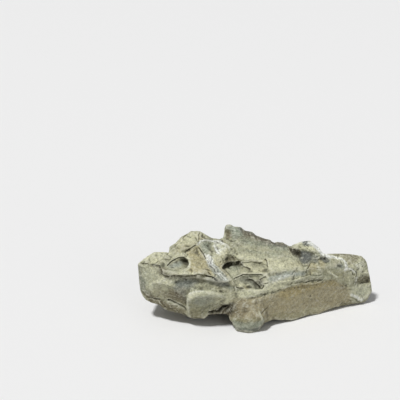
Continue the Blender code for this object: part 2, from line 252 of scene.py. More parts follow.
# Ledges: how far one side stands out, how far the other drops back, how wide the two sides are, and
# the line between them, whose proud side is the one that line_frame calls left
LEDGES = {
    "left_bed": (0.9, 2.3, (6, 5.5),
        [(139, 263.6), (148, 263.8), (156, 265.2), (159, 265.4), (160, 270), (163, 274.4), (167.5, 276),
         (172, 275.2), (180, 275.6), (186, 276.2), (192, 275.8), (199, 275), (206.5, 276), (212, 277),
         (219, 281.2)]),
    "eye_lip": (1.1, 0.6, (5, 3),
        [(231.9, 279.6), (228.7, 275), (224.4, 270), (222.8, 264.6), (224.2, 259.4), (227.4, 255.6),
         (230.8, 253)]),
    "eye_roof": (0.6, 0.8, (4, 5),
        [(223.6, 266.6), (225, 264.4), (228.1, 262.8), (231.5, 261.8), (235.7, 262), (239, 261.8),
         (241.8, 263.8), (243.6, 267), (247.4, 267.4), (252, 269.8)]),
    "upper_step": (0.1, 0.4, (3, 6),
        [(240, 261.8), (243.4, 262.7), (248.5, 262.2), (251.5, 261.8), (256, 262.6), (260, 262.6),
         (264, 261)]),
    "end_step": (-0.9, -0.9, (5, 4), [(268, 271), (267.4, 267.6), (267, 264.4), (266.2, 261), (265, 257.6)]),
    "lower_step": (0.7, 0.0, (4, 3),
        [(232.3, 279.4), (237, 277.2), (243.4, 274.4), (249.7, 274.5), (256, 274.2), (261.2, 274.3),
         (265, 276)]),
    "curl": (0.9, 1.8, (3, 4),
        [(246, 278.2), (250, 279.2), (252.6, 280.2), (255.5, 282.5), (258, 285), (260, 287.8)]),
    "lower_lip": (0.4, -1.2, (3, 4), [(235, 287.4), (239.5, 288), (245, 288.6), (252, 289), (258, 289.4)]),
    "peak_slit": (0.8, 1.5, (3, 5), [(184, 251.8), (187, 250.4), (190, 248.9), (194.2, 246.4), (198, 244)]),
    "plate": (-1.0, -1.0, (4, 3), [(206.4, 261), (204, 256.4), (203, 253), (199.4, 249.4), (197.6, 244.4)]),
    "knuckle": (0.8, 2.8, (5, 6),
        [(229, 297), (219, 292.6), (209.5, 290.4), (201.6, 290.2), (194.2, 291), (189.4, 292.8),
         (186.6, 297.4), (186.3, 305.6), (188.1, 314.4)]),
    "knuckle_low": (0.9, 0.7, (4, 4),
        [(209, 312.6), (214, 310.4), (222, 306.6), (229, 304.2), (235, 302.2)]),
    "left_flake": (0.35, 1.0, (3, 5),
        [(166, 300.2), (170, 299.8), (174.6, 302), (179.5, 304.4), (184, 306.4), (186.4, 310),
         (187.6, 314)]),
    "left_slit": (0.2, 0.7, (3, 5), [(147, 295), (150, 296.6), (153, 298), (156.5, 299), (161.5, 299)]),
    "lobe_edge": (0.35, 0.5, (5, 6), [(149, 286.6), (156, 284), (163, 284.6), (170, 286.4), (179, 290)]),
    "lobe_rib": (0.5, 0.5, (4, 4), [(158, 284.4), (165, 280), (172, 276.6)]),
    "lobe_rib_low": (0.5, 0.5, (4, 4), [(168, 286.4), (174, 281.6), (181, 278.4)]),
    "left_rim": (0.2, 0.4, (4, 5), [(142, 289), (147, 295), (153, 299), (160, 303)]),
    "rim": (0.8, 0.7, (4, 5),
        [(238, 298), (250, 297.6), (262, 294.6), (270, 290.6), (285, 288), (299, 285.6), (312.6, 284.4),
         (325, 281), (334, 279.4)]),
    "face_top": (0.3, 0.7, (3, 4), [(303, 283), (310.3, 280.6), (317, 280), (325, 279.8)]),
    "end_low_edge": (0.8, 1.0, (4, 4), [(350.6, 295), (356, 298), (362, 301), (367, 297.4), (371, 291)]),
    "end_crest": (0.4, 0.4, (3, 4), [(344.6, 271), (351, 268.8), (357, 268.4), (362, 262.6)]),
    "shoulder": (1.2, 3.4, (4, 8),
        [(347.6, 268.4), (346.6, 264.4), (344.2, 260.6), (340, 259), (336.6, 258.2), (329.8, 256.8),
         (325, 255), (321.4, 252.6)]),
    "peak_root": (0.4, 0.7, (4, 4), [(318.9, 268), (318.9, 262), (318.3, 257), (311.4, 254)]),
    "peak_root_left": (0.5, 0.7, (3, 4), [(306.4, 274), (306, 271.4), (307.5, 268.6), (310.8, 262.4)]),
    "band_top": (0.5, 0.7, (4, 4),
        [(267, 277.4), (271, 275.8), (277, 274.2), (284.2, 271.8), (290, 271), (300, 270.6), (304, 271)]),
    "end_edge": (0.7, 1.2, (4, 5), [(355.2, 286), (355.6, 280.8), (355, 275), (354, 270.6)]),
    "end_shelf": (0.8, 1.2, (4, 5), [(372, 283.2), (362, 285), (355.6, 284.2)]),
    "peak_cap": (0.7, 0.5, (4, 3), [(292, 249.4), (298, 250.6), (304, 251.2), (311, 252.4), (317, 251.4)]),
    "foot_edge": (-0.6, -1.0, (5, 4), [(259.6, 312.6), (262.4, 318.4), (264, 323)]),
}

# Thin raised veins: half width, height and line
VEINS = {
    "vein_low": (1.0, 0.7,
        [(206, 257), (208.6, 261), (209.4, 264.4), (213, 267), (215.4, 269.6), (217, 272.4), (221, 274.4),
         (224, 277.6), (228.6, 281)]),
    "vein_left": (0.9, 0.5,
        [(207, 263.6), (210, 267.6), (212.8, 269.4), (214.8, 273), (219, 275), (221.6, 278.4), (226, 281)]),
    "vein_right": (0.9, 0.5,
        [(212.4, 262.6), (214.6, 265.6), (218, 267.2), (220, 270.4), (223.4, 272.6), (226.4, 276.6)]),
    "vein_patch": (1.8, 0.8, [(206.6, 256.6), (208.4, 259.4), (209.4, 262.4)]),
    "plate_top": (1.2, 0.8,
        [(198.4, 245), (201, 241), (204.6, 240.2), (212.6, 241.2), (220, 240.7), (223, 243.8)]),
    "web_a": (1.1, 0.6, [(212.8, 241), (221, 242.3), (228.1, 245.5), (230.6, 250)]),
    "web_b": (1.1, 0.6, [(225.5, 246.8), (221.7, 250), (218.5, 250.6)]),
    "web_c": (1.1, 0.6, [(214, 245.5), (216.6, 250.6), (218.7, 253.6)]),
    "seam": (1.1, 0.7, [(231.5, 279.4), (234.4, 284.4), (235.8, 288), (237, 293.4)]),
    "foot_edge": (1.1, 0.5, [(258.8, 311), (261, 315), (262.8, 319), (264, 323)]),
    "end_ridge": (1.1, 0.5, [(344.7, 270.4), (348.4, 268.8), (351.6, 269.2), (354, 272.4), (356.4, 275.6)]),
    "end_facet": (1.4, 0.5, [(355.4, 265.4), (358.6, 262.8), (361.6, 262.4)]),
    "shoulder": (1.1, 0.7,
        [(318, 248.4), (321.8, 252.8), (329.8, 256.4), (336.7, 258), (342.4, 259.6), (345.3, 262.4),
         (346.8, 267.4)]),
    "end_rib": (1.1, 0.6, [(354.4, 271), (355.6, 276), (356, 281)]),
    "slope_streak": (1.2, 0.6, [(328, 271), (333.8, 275), (338.4, 277.9)]),
}

# Fine cracks: half width, depth and line
CRACKS = {
    "left_end_bed": (0.9, 1.3, [(139, 263.8), (144, 263.8), (150, 264.4), (157, 265)]),
    "under_left_bed": (1.3, 3.4,
        [(152, 264.6), (156, 265.4), (159.4, 266), (160.4, 270.4), (163.4, 274.8), (167.5, 276.4),
         (172, 275.6), (180, 276), (186, 276.6), (192, 276.2), (199, 275.4), (206.5, 276.4), (212, 277.4),
         (217, 280.4)]),
    "bed_patch": (1.4, 0.9, [(180, 277), (184, 278.6), (188, 280.4)]),
    "left_slit": (1.0, 2.2, [(149.5, 296.6), (153, 298.2), (156.5, 299.2), (161.5, 299.2)]),
    "left_flake": (1.3, 3.8,
        [(166.4, 300.4), (170, 300), (174.6, 302.2), (179.5, 304.6), (184, 306.6), (186.3, 310)]),
    "lobe_edge": (0.8, 0.5, [(150, 285.4), (157, 283.8), (164, 284.6), (171, 286.8), (178.4, 290)]),
    "peak_slit": (0.9, 1.8, [(186, 250.6), (190, 249), (194.2, 246.4), (197, 244.6)]),
    "plate_left": (0.9, 1.8, [(198.4, 247), (200, 250), (203, 253.4), (204.6, 257), (206, 260)]),
    "eye_roof": (1.6, 5.0,
        [(223.4, 267.4), (225, 264.8), (228, 263), (231.5, 262.2), (235.7, 262.6), (239, 262.2),
         (241.4, 263.8)]),
    "eye_wall": (0.7, 0.6, [(231.6, 253.2), (234.6, 256.4), (237.6, 259.8), (239.6, 262)]),
    "pocket_roof": (0.9, 1.6,
        [(166, 266.6), (172.2, 261.4), (178.6, 257.9), (183.8, 257.4), (187, 259.8), (187.4, 263)]),
    "vein_gap": (0.8, 0.9, [(206.6, 259.6), (210.6, 266), (216.6, 271), (222.4, 276.4)]),
    "face_scar": (0.7, 0.5, [(340, 283), (343, 287), (344, 292)]),
    "end_rib": (0.8, 0.9, [(352, 271.6), (353.6, 276), (353.4, 280.6)]),
    "eye_roof_right": (0.9, 1.3, [(241, 263.4), (243, 267), (247, 267.8), (251.5, 270)]),
    "eye_floor": (0.8, 0.9, [(236.2, 266.6), (237.4, 270), (239, 273)]),
    "upper_step": (0.8, 0.8,
        [(240, 262.2), (243.4, 263), (248.5, 262.6), (251.5, 262.2), (256, 263), (260, 263), (263, 261.8)]),
    "end_step": (0.9, 1.6, [(264.8, 258.4), (266.3, 261), (266.8, 264.6), (267.4, 268.4)]),
    "lower_step": (0.9, 2.0,
        [(233, 279.4), (237, 277.7), (243.4, 274.9), (249.7, 275), (256, 274.7), (261.2, 274.8),
         (264.4, 276)]),
    "curl": (1.1, 3.0, [(248.5, 279), (252.3, 280.4), (255.5, 283), (258, 285.6), (260, 288), (261.4, 289)]),
    "curl_end": (0.9, 1.4, [(261, 289.2), (263.4, 287), (264, 284.4)]),
    "curl_top": (0.9, 1.0, [(259.6, 280), (263, 277.8), (267, 277)]),
    "lower_slit": (0.9, 2.2, [(235.5, 287), (239.5, 287.8), (244.8, 288.2)]),
    "ridge_slit": (0.9, 1.6, [(260.4, 294.3), (266.6, 294.2)]),
    "face_top": (0.8, 1.2, [(304.5, 282.6), (310.3, 280.8), (317, 280.2), (324, 279.8)]),
    "peak_root": (0.8, 0.3, [(315, 255.6), (318, 257.6), (318.7, 262), (318.8, 266)]),
    "peak_root_left": (0.9, 1.2, [(310.6, 263), (307.5, 268.8), (306.2, 271.4), (306.6, 273.8)]),
    "under_shelf": (1.4, 3.6, [(208, 312.8), (214, 310.8), (222, 307), (229, 304.8)]),
    "foot_side": (0.9, 0.7, [(262.4, 313.2), (265, 309.6), (268.4, 306.6)]),
    "bridge": (0.9, 1.0, [(203.4, 268.3), (208.3, 270.1), (212.6, 271.6)]),
    "peak_top": (0.8, 0.8, [(183.8, 235.6), (188, 236.8), (192, 238)]),
    "peak_right": (0.8, 0.9, [(194.8, 237), (196.7, 240), (197.9, 243)]),
    "face_end": (0.9, 1.0, [(284, 318.4), (292, 318.8)]),
}

# The outline from the front, clockwise from the left end
OUTLINE = [
    (137.5, 264), (143, 259), (149, 255), (154, 252), (169, 252), (169.4, 247), (176, 242), (183, 235),
    (190, 231), (200, 231), (205, 234), (212, 238), (220, 239), (223.6, 236), (224.2, 226.4), (226.8, 224.5),
    (230.6, 224.5), (234.4, 226.4), (240.8, 227), (244.6, 230.2), (252.9, 232.1), (256.1, 235.3),
    (263.8, 238.2), (270.2, 239.8), (273.3, 243), (276.5, 241.7), (282.9, 242.3), (289.3, 246.1),
    (301.1, 241.5), (309.7, 240.6), (313.7, 243.5), (319.4, 247.5), (322.3, 252.1), (325.2, 253.8),
    (340, 253.5), (350, 254), (361.3, 255.8), (366.5, 260.1), (368.2, 268.1), (370, 276.2), (371.1, 283.6),
    (372, 291.1), (370.5, 294.6), (367.1, 300.3), (362.5, 302.9), (351, 304.3), (343.6, 305.7),
    (336.7, 307.2), (325, 311.2), (319.4, 313.8), (307.9, 315), (300.3, 317.6), (293.9, 320.2),
    (279.8, 320.2), (273.5, 319.5), (264.5, 323.3), (259.4, 331), (248, 333.5), (236.5, 331), (228.8, 318.9),
    (231.4, 316.3), (225.4, 314), (209.6, 314.5), (204.6, 318.5), (197, 319.5), (189.7, 317.5),
    (183.9, 314.5), (171.5, 311.5), (164.8, 309.5), (159, 305), (150.7, 302.5), (145.8, 300), (142.4, 296),
    (140, 291), (139, 280), (138.3, 270),
]

# Where the skin is smooth: how much of the weathering a patch of the frame misses, and its corners
CALM = {
    "sandy_face": (0.75,
        [(262, 297), (285, 288), (312, 285), (334, 280), (350, 288), (351, 303), (335, 307), (319, 314),
         (300, 317), (280, 320), (264, 316)]),
    "foot": (0.92, [(232, 303), (246, 298), (266, 294), (270, 320), (258, 332), (240, 333), (229, 318)]),
    "wall": (0.75,
        [(234, 240), (250, 240), (284, 248), (302, 262), (300, 271), (268, 275), (262, 262), (234, 258)]),
    "wall_crest": (0.45, [(236, 228), (262, 239), (286, 246), (284, 250), (250, 244), (236, 240)]),
    "left_pocket": (1.0, [(164, 269), (171, 259), (184, 254), (191, 261), (187, 271)]),
    "eye": (0.85,
        [(222, 268), (230, 252), (242, 261), (266, 262), (267, 276), (264, 290), (236, 289), (231, 280)]),
    "peak_patch": (0.9, [(298, 251), (312, 252), (312, 264), (300, 264)]),
    "bridge": (0.6, [(188, 250), (200, 246), (206, 260), (212, 272), (190, 274)]),
    "plate": (0.8, [(199, 242), (213, 241), (214, 252), (203, 254)]),
    "left_end": (0.75, [(139, 266), (158, 267), (162, 284), (150, 292), (140, 290)]),
    "lobe": (0.8,
        [(158, 277), (212, 278), (230, 287), (190, 291), (184, 300), (182, 306), (150, 296), (150, 286)]),
    "knuckle": (0.97, [(184, 290), (192, 288), (216, 289), (232, 299), (214, 311), (204, 320), (186, 318)]),
    "slope": (0.9, [(322, 262), (345, 266), (354, 272), (354, 290), (336, 281), (322, 278)]),
    "shoulder": (0.8, [(326, 256), (340, 257), (347, 262), (348, 270), (336, 268)]),
    "end_low": (0.92, [(351, 285), (370, 284), (372, 292), (366, 302), (352, 304)]),
    "ridge": (0.6, [(238, 289), (262, 289), (284, 280), (300, 276), (288, 286), (262, 295), (238, 297)]),
    "tail": (0.9, [(222, 285), (238, 286), (240, 303), (230, 318), (208, 315), (220, 300)]),
    "pocket_side": (0.95, [(157, 261), (168, 262), (174, 275), (162, 275)]),
}

# Clays that stain the stone. Some also paint light: cream and white add painted highlights on lit tops
# and edges, brown, slate, olive and plate add painted shade on lower faces and in hollows, and one
# near-black clay is painted shade alone in crevices. A patch has the part it lies on, its strength and
# its corners in the frame. A stroke has the part, its strength, half its width and its line.
CLAYS = {
    "tan": [
        ("bridge", 0.9,
            [(186, 250), (198, 245), (206, 258), (214, 268), (222, 277), (206, 276), (190, 275), (186, 270),
             (189, 262)]),
        ("peak_front", 0.5,
            [(168, 250), (176, 242), (184, 235), (192, 231), (201, 231), (206, 235), (212, 239), (205, 240),
             (199, 243), (190, 248), (186, 251), (176, 254)]),
        ("eye_rim", 1.0,
            [(217, 252), (230, 249), (224, 259), (222, 268), (229, 276), (233, 284), (226, 279), (217, 268),
             (214, 262)]),
        ("lower_pocket", 0.9, [(235, 282), (247, 285), (250, 290), (238, 288)]),
        ("peak_cap", 0.5, [(292, 249), (297, 245), (303, 246), (312, 245.5), (318, 250), (306, 250)]),
        ("wall_foot", 0.6,
            [(238, 258), (264, 258), (286, 260), (304, 263), (302, 268), (270, 266), (262, 263),
             (240, 261)]),
        ("terrace", 0.7, [(244, 264), (264, 264), (267, 273), (252, 273)]),
        ("peak_side", 1.0, [(319, 260), (326, 262), (325, 268), (319, 267)]),
        ("peak_root", 0.7, [(306, 263), (318, 262), (318, 270), (309, 275)]),
        ("left_top", 0.5, [(142, 264), (156, 256), (168, 258), (160, 264)]),
    ],
    # Pale cream stains, and painted highlights on lit tops and edges: the knuckle top, the peak, the ledge
    # lips, the foot edge and the top of the left end
    "cream_and_highlight": [
        ("curl", 0.6,
            [(238, 291), (260, 290), (272, 284), (283, 279), (292, 276), (286, 284), (270, 290), (256, 296),
             (238, 297)]),
        ("web", 0.7, [(216, 244), (224, 246), (232, 247), (238, 252), (230, 251), (224, 256), (219, 255)]),
        ("web_low", 0.6, [(208, 250), (216, 252), (220, 256), (218, 262), (212, 258)]),
        ("left_top", 0.7, [(144, 260), (152, 254), (168, 254), (164, 262), (150, 263)]),
        ("end_top", 0.8, [(344, 256), (360, 256), (364, 261), (352, 266)]),
        ("ridge_right", 0.9, [(264, 290), (272, 286), (288, 281), (286, 288), (268, 294)]),
        ("peak_front", 0.6,
            [(174, 245), (184, 236), (192, 231), (202, 231), (207, 236), (196, 238), (186, 243),
             (178, 248)]),
        ("peak_cap", 0.8, [(299, 244.6), (312, 244.4), (319, 250), (311, 251.6), (303, 249.6)]),
        ("eye_wall", 0.6, [(228, 248), (238, 247), (240, 256), (232, 254)]),
        ("vein", 0.5, [(206, 254), (214, 255), (221, 264), (222, 271), (214, 264)]),
        ("left_top", 1.0, 1.8, [(139, 262), (143, 259.6), (149, 255.8), (155, 253), (169, 253)]),
        ("pocket_top", 0.9, 1.5, [(176, 256.6), (184, 254.6), (188, 258)]),
        ("bridge", 0.9, 1.2, [(188.9, 260.4), (189, 267), (186, 270)]),
        ("rim_band", 1.0,
            [(262, 289), (268, 284), (284, 278), (298, 275), (304, 277), (290, 282), (272, 289),
             (262, 294)]),
        ("lower_pocket", 0.9, [(231, 280), (238, 278.6), (248, 281.6), (250, 286), (236, 287)]),
        ("lobe_brown", 0.5, [(150, 286), (158, 285), (170, 287), (172, 291), (158, 291)]),
        ("left_shelf", 0.9, 1.6, [(172, 274.6), (182, 273.6), (192, 274)]),
        ("end_low", 0.6, [(352, 286), (370, 284), (372, 292), (366, 300), (352, 301)]),
        ("lobe_brown", 0.7, [(148, 287), (158, 288), (160, 292), (150, 293)]),
        ("lobe_rib", 0.9, 1.0, [(150, 284), (158, 280.6), (166, 277)]),
        ("lobe_rib", 1.0, 1.2, [(158, 284.4), (165, 280.4), (174, 277)]),
        ("lobe_rib", 1.0, 1.1, [(167, 286), (174, 281.6), (182, 278.4)]),
        ("lobe_dark", 0.7, 0.9, [(176, 288), (184, 284), (190, 279)]),
        ("knuckle", 0.7, 1.0, [(189.6, 300), (196, 295), (206, 294)]),
        ("knuckle", 0.5, 1.0, [(189, 305), (198, 299), (212, 296), (222, 299)]),
        ("knuckle", 0.5, 1.0, [(190, 310), (200, 305), (216, 303), (228, 302)]),
        ("foot_left", 0.5, [(222, 297), (230, 298), (233, 301), (228, 305), (222, 304)]),
        ("lobe_brown", 0.4, 0.9, [(152, 290), (162, 294), (172, 297)]),
        ("end_side", 0.5, [(350, 262), (362, 260), (368, 268), (368, 276), (357, 276), (350, 272)]),
        ("slope_right", 0.35, [(344, 277), (354, 276), (354, 296), (346, 300)]),
        ("sandy_face", 0.35, [(298, 309), (318, 306), (336, 302), (344, 304), (320, 314), (300, 318)]),
        ("peak_side", 1.0, 1.6,
            [(297, 243.6), (303, 241), (310, 241.6), (316, 245.6), (321, 251), (327, 255), (336.7, 258),
             (342.4, 259.4), (345.3, 262), (346.4, 266)]),
        ("end_side", 0.8,
            [(344, 271), (352, 268), (360, 261), (366, 266), (366, 273), (358, 276), (352, 276)]),
        ("lobe_pale", 0.4, [(141, 267), (156, 267), (160, 274), (152, 280), (142, 279)]),
        ("lobe_rib", 0.85, [(158, 276), (173, 276), (176, 280), (170, 286), (156, 284)]),
        ("knuckle_top", 0.6, 1.4, [(189, 294), (200, 291.6), (212, 292), (220, 295)]),
        ("knuckle_top", 0.9, 1.6, [(190.6, 296.6), (194.6, 294), (199, 293)]),
        ("wall_low", 0.5, [(232, 252), (244, 254), (262, 256), (262, 260), (244, 260), (236, 257)]),
        ("wall_right", 0.5, [(272, 258), (290, 258), (302, 264), (302, 270), (270, 272), (268, 264)]),
        ("terrace", 0.6, [(244, 264), (264, 264), (266, 272), (252, 273)]),
        ("eye_floor", 0.5, [(228, 268), (236, 266), (242, 270), (238, 276), (231, 278)]),
        ("knuckle_edge", 0.6, 1.2, [(186.6, 298), (186.8, 306), (188.6, 313)]),
        ("slope", 0.8, 1.3, VEINS["slope_streak"][-1]),
        ("left_shelf", 0.9, 1.2, [(171, 275.4), (186, 274.6), (199, 273.6), (207, 274.6)]),
        ("foot_edge", 0.9, 1.1, [(259, 312), (261.4, 317), (263.6, 322)]),
        ("wall_low", 0.7, 1.6, [(232, 255), (244, 258), (262, 261)]),
        ("terrace", 0.8, 1.1, [(241, 273), (250, 272.6), (262, 273)]),
        ("knuckle_top", 0.55, 2.0, [(190, 287.4), (200, 285.4), (212, 286), (220, 288.6)]),
        ("under_knuckle", 0.7, 1.8, [(212, 300.4), (221, 302), (230, 301.6)]),
        ("wall_foot", 0.75,
            [(240, 262), (264, 262), (272, 256), (290, 257), (288, 269), (268, 271), (244, 267)]),
        ("web_low", 0.7, [(216, 253), (228, 251), (226, 262), (218, 264), (212, 258)]),
        ("lobe_pale", 0.6, [(143, 266), (155, 266), (156, 275), (145, 276)]),
        ("knuckle", 0.45, [(200, 294), (216, 295), (228, 300), (218, 304), (204, 302)]),
        ("rim_band", 0.8, [(270, 283), (284, 277), (300, 273), (304, 276), (288, 280), (276, 286)]),
        ("peak_front", 0.7, [(182, 240), (190, 236), (200, 238), (196, 242), (186, 247)]),
        ("pocket_top", 0.5, [(160, 255), (172, 255), (184, 252), (184, 256), (172, 260), (162, 262)]),
    ],
    # The white veins and specks, and painted highlights on lit edges: the knuckle top and edge, the shoulder
    # ridge, the right end and the foot edge
    "white_and_highlight": [
        ("vein_top", 1.0,
            [(204.6, 255), (208.6, 254.4), (212.6, 258.6), (213, 264.6), (208.6, 263.6), (206, 259.6)]),
        ("peak_side", 1.0, 1.6, [(309, 242.4), (314.4, 245.6), (319.4, 250), (322.6, 254), (329.8, 257)]),
        ("shoulder", 0.95, 1.0,
            [(322, 252.6), (329.8, 256.2), (336.7, 257.8), (342.4, 259.4), (345.3, 262.2), (346.8, 266.6),
             (345.4, 270)]),
        ("sandy_face", 0.4, 0.7, [(314, 297), (317, 302)]),
        ("sandy_face", 0.4, 0.7, [(312, 302.6), (316, 306)]),
        ("sandy_face", 0.4, 0.7, [(308.6, 311.8), (313, 312), (317, 310.4)]),
        ("face_left", 0.3, 0.7, [(295, 303), (298.4, 300)]),
        ("face_top", 0.3, 0.7, [(322, 290), (326, 292)]),
        ("face_top", 0.35, 0.7, [(312.6, 286.6), (317, 286)]),
        ("end_crest", 0.75, 0.9, [(344.6, 270.4), (348.4, 268.8), (351.6, 269.2), (354, 272.4)]),
        ("end_top", 0.4, [(354.6, 266), (358, 262), (362.4, 261.4), (365, 266), (360, 268.4)]),
        ("end_side", 0.5, 1.0, [(354, 270.6), (357.4, 275.4), (356, 280), (355, 283.6)]),
        ("end_low", 0.9, 1.2, [(351, 294.6), (356.4, 297), (362, 300.6)]),
        ("end_low", 0.5, 0.8, [(362, 300.6), (366.6, 296.6), (370, 290.6)]),
        ("end_low", 0.4, 0.8, [(350.6, 289.4), (356, 291), (362, 294.6)]),
        ("end_low", 0.3, 0.8, [(352, 286), (358, 287.4), (366, 289)]),
        ("end_side", 0.4, 0.9, [(356, 263.6), (359.4, 268.4), (362, 272.6)]),
        ("end_side", 0.3, 0.8, [(360.6, 262), (364, 266.6), (366, 272)]),
        ("slope_right", 0.3, 0.8, [(348.4, 277), (351.4, 281.6), (352, 287)]),
        ("face_end", 0.35, 0.7, [(337.6, 286.4), (342, 288.6)]),
        ("face_end", 0.3, 0.7, [(343.4, 294), (348, 292)]),
        ("peak_cap", 0.5, 1.0, [(297.4, 243.8), (303, 241.4)]),
        ("plate", 0.85, 0.9,
            [(197.6, 244.6), (200.6, 241), (204.6, 240.2), (212.6, 241.2), (220, 240.7), (223, 243.8)]),
        ("vein_top", 0.6, 0.9, [(204, 254), (206, 256), (209.6, 263.4)]),
        ("vein", 0.7, 0.8, VEINS["vein_low"][-1][2:6]),
        ("vein_low", 0.65, 0.8, [(218, 273), (221, 274.4), (224, 277.6), (228.6, 281)]),
        ("vein", 0.5, 0.7, VEINS["vein_right"][-1][:3]),
        ("vein_low", 0.45, 0.7, [(219, 269), (220, 270.4), (223.4, 272.6), (226.4, 276.6)]),
        ("vein", 0.3, 0.7, VEINS["vein_left"][-1][:3]),
        ("vein_low", 0.45, 0.7, VEINS["vein_left"][-1][3:]),
        ("knob", 0.45, 1.0, [(233, 226), (234.6, 229), (233.4, 233)]),
        ("web", 0.6, 1.0, [(212.8, 241), (221, 242.3), (226, 244.4)]),
        ("web", 0.5, 1.0, [(226, 244.4), (228.6, 247), (230.6, 250)]),
        ("web", 0.6, 0.9, VEINS["web_b"][-1]),
        ("web_low", 0.8, 1.2, VEINS["web_c"][-1]),
        ("web", 0.4, [(213, 243), (222, 243), (222, 249), (215, 253)]),
        ("web_low", 0.45, 1.1, [(212, 257), (216, 256), (219, 252)]),
        ("eye_floor", 0.2, 1.0, [(228, 269), (231, 273)]),
        ("web_low", 0.25, [(216, 247), (228, 248), (224, 255), (216, 257)]),
        ("end_low", 0.45, 1.2, [(357, 300.6), (363, 299), (368, 295)]),
        ("slope", 0.45, 0.9, [(330, 272.4), (334, 275.4), (338, 277.8)]),
        ("sandy_face", 0.35, 1.0, [(302, 290.6), (305, 288), (310, 286.6)]),
        ("sandy_face", 0.35, 0.9, [(318, 301), (321, 305)]),
        ("ridge_right", 0.3, 1.2, [(264, 287), (270, 283), (276, 283)]),
        ("band", 0.4, 1.0, [(284, 274.6), (296, 273.8), (304, 275)]),
        ("rim_band", 0.35, 1.0, [(270, 279), (280, 276), (290, 274)]),
        ("rim_band", 0.5, [(266, 284), (272, 280), (282, 277), (292, 274), (290, 277), (276, 283)]),
        ("lobe_rib", 0.35, 0.9, [(151, 284.6), (158, 281), (166, 277.4)]),
        ("lobe_rib", 0.45, 0.9, [(158, 284.8), (165, 281), (172, 278)]),
        ("lobe_pale", 0.35, 0.9, [(147, 271), (152, 274), (158, 272)]),
        ("lobe_pale", 0.3, 1.0, [(142, 268), (146, 274), (145, 280)]),
        ("knuckle_top", 0.55, 1.0, [(189.4, 293.6), (195, 291.6), (204, 291.4)]),
        ("knuckle_edge", 0.4, 0.8, [(187, 298), (188, 304), (189.6, 311)]),
        ("tail", 0.35, 1.0, [(208, 292.6), (216, 294), (224, 298)]),
        ("bridge", 0.5, 0.8, [(186.8, 266), (189, 268), (190, 262)]),
        ("pocket_top", 0.4, 0.8, [(176, 254.6), (182, 253.6), (186, 255.4)]),
        ("wall_low", 0.35, 0.7, [(239, 262.4), (246, 262.2), (250, 261.6)]),
        ("end_top", 0.35, 1.2, [(350, 262), (356, 265), (361, 272)]),
        ("foot_edge", 0.5, 0.6, [(259.6, 313), (261.4, 316), (262.8, 319), (263.8, 322.6)]),
    ],
    "plate": [
        ("eye_floor", 0.5, [(228, 270), (226, 266), (234, 264), (241, 266), (242, 270), (234, 272)]),
        ("wall", 0.45, [(236, 247), (262, 250), (288, 254), (290, 258), (262, 255), (236, 252)]),
        ("peak_left", 0.4, [(168, 246), (176, 243), (182, 246), (176, 252), (169, 252)]),
        ("plate", 0.75, [(199, 243), (204, 241.4), (211, 242.4), (212, 249), (207, 254), (202, 251)]),
        ("knob", 0.8,
            [(225, 227), (231, 225), (240, 227.6), (245, 231), (240, 238), (232, 242), (231, 232),
             (226, 231)]),
        ("wall_crest", 0.6,
            [(236, 230), (250, 234), (270, 241), (288, 245), (290, 252), (270, 249), (240, 243)]),
        ("lobe_pale", 0.35, [(140, 267), (150, 266), (154, 280), (144, 288), (140, 280)]),
        ("peak_cap", 0.9, [(302, 241), (312, 241.5), (313, 245), (303, 245.4)]),
        ("left_pocket", 0.3, [(168, 266), (175, 261), (182, 259), (185, 262), (182, 267), (170, 268)]),
        # Painted shade: the grey-green plate clay darkens the foot's underside
        ("foot_low", 0.85, [(232, 320), (246, 323), (264, 320), (264, 336), (234, 336)]),
    ],
    "blue": [
        ("rim_band", 0.9,
            [(268, 277), (276, 274.4), (290, 271.6), (304, 271.6), (306, 275), (290, 277), (276, 280),
             (268, 281)]),
        ("vein", 0.8, [(206, 262), (213, 262), (222, 271), (231, 281), (226, 283), (213, 274)]),
        ("vein_low", 0.5, [(202, 278), (216, 276), (230, 284), (224, 288), (206, 284)]),
        ("shoulder_low", 0.6, [(336, 262), (345, 264), (345, 270), (337, 269)]),
        ("end_low", 0.35, [(352, 288), (362, 286), (370, 285), (371, 292), (366, 299), (356, 298)]),
        ("left_pocket", 0.75,
            [(167, 268), (174, 262), (182, 259.6), (184, 262), (181, 267.6), (170, 268.4)]),
        ("knuckle", 0.5, [(190, 304), (196, 297), (208, 294), (218, 297), (216, 303), (202, 307)]),
        ("tail", 0.4, [(223, 283), (232, 284), (236, 292), (228, 292)]),
        ("lobe_dark", 0.6, [(168, 281), (184, 278), (200, 280), (190, 288), (178, 288)]),
    ],
    # Dark slate patches, and painted shade below the left ledge, on the shaded left end and on the foot's
    # underside
    "slate": [
        ("peak_patch", 0.95,
            [(299, 251), (305, 250.4), (311.8, 252.4), (312.8, 258), (309.4, 263.4), (302, 264),
             (299, 259)]),
        ("peak_side", 0.9, [(320, 255), (327, 257), (330.6, 262), (325, 263), (320, 259)]),
        ("lobe_dark", 0.55,
            [(175, 281), (191, 279), (204, 280), (196, 286), (189, 290), (180, 289), (174, 286)]),
        ("vein_low", 0.75, [(212, 276), (222, 279), (230, 284.4), (222, 286.6), (212, 282)]),
        ("left_shelf", 0.45, 1.6, [(166, 278.4), (180, 278.6), (200, 278.2), (213, 280)]),
        ("wall_crest", 0.75, 2.6,
            [(240, 229), (248, 233), (256, 236.6), (264, 240), (274, 243.6), (286, 245)]),
        ("band_left", 0.35, [(264, 272), (272, 271), (286, 271), (286, 274), (270, 277)]),
        ("lower_pocket", 0.5,
            [(238, 277), (250, 276), (258, 282), (262, 287), (256, 289), (246, 284), (237, 282)]),
        ("wall_left", 0.4, [(238, 239), (250, 241), (256, 244), (244, 243)]),
        ("vein_low", 0.4, [(206, 278), (216, 279), (226, 282), (230, 285.4), (222, 287), (206, 282)]),
        ("lobe_slate", 0.7, [(173, 286), (186, 288), (187, 295), (185, 302), (175, 297)]),
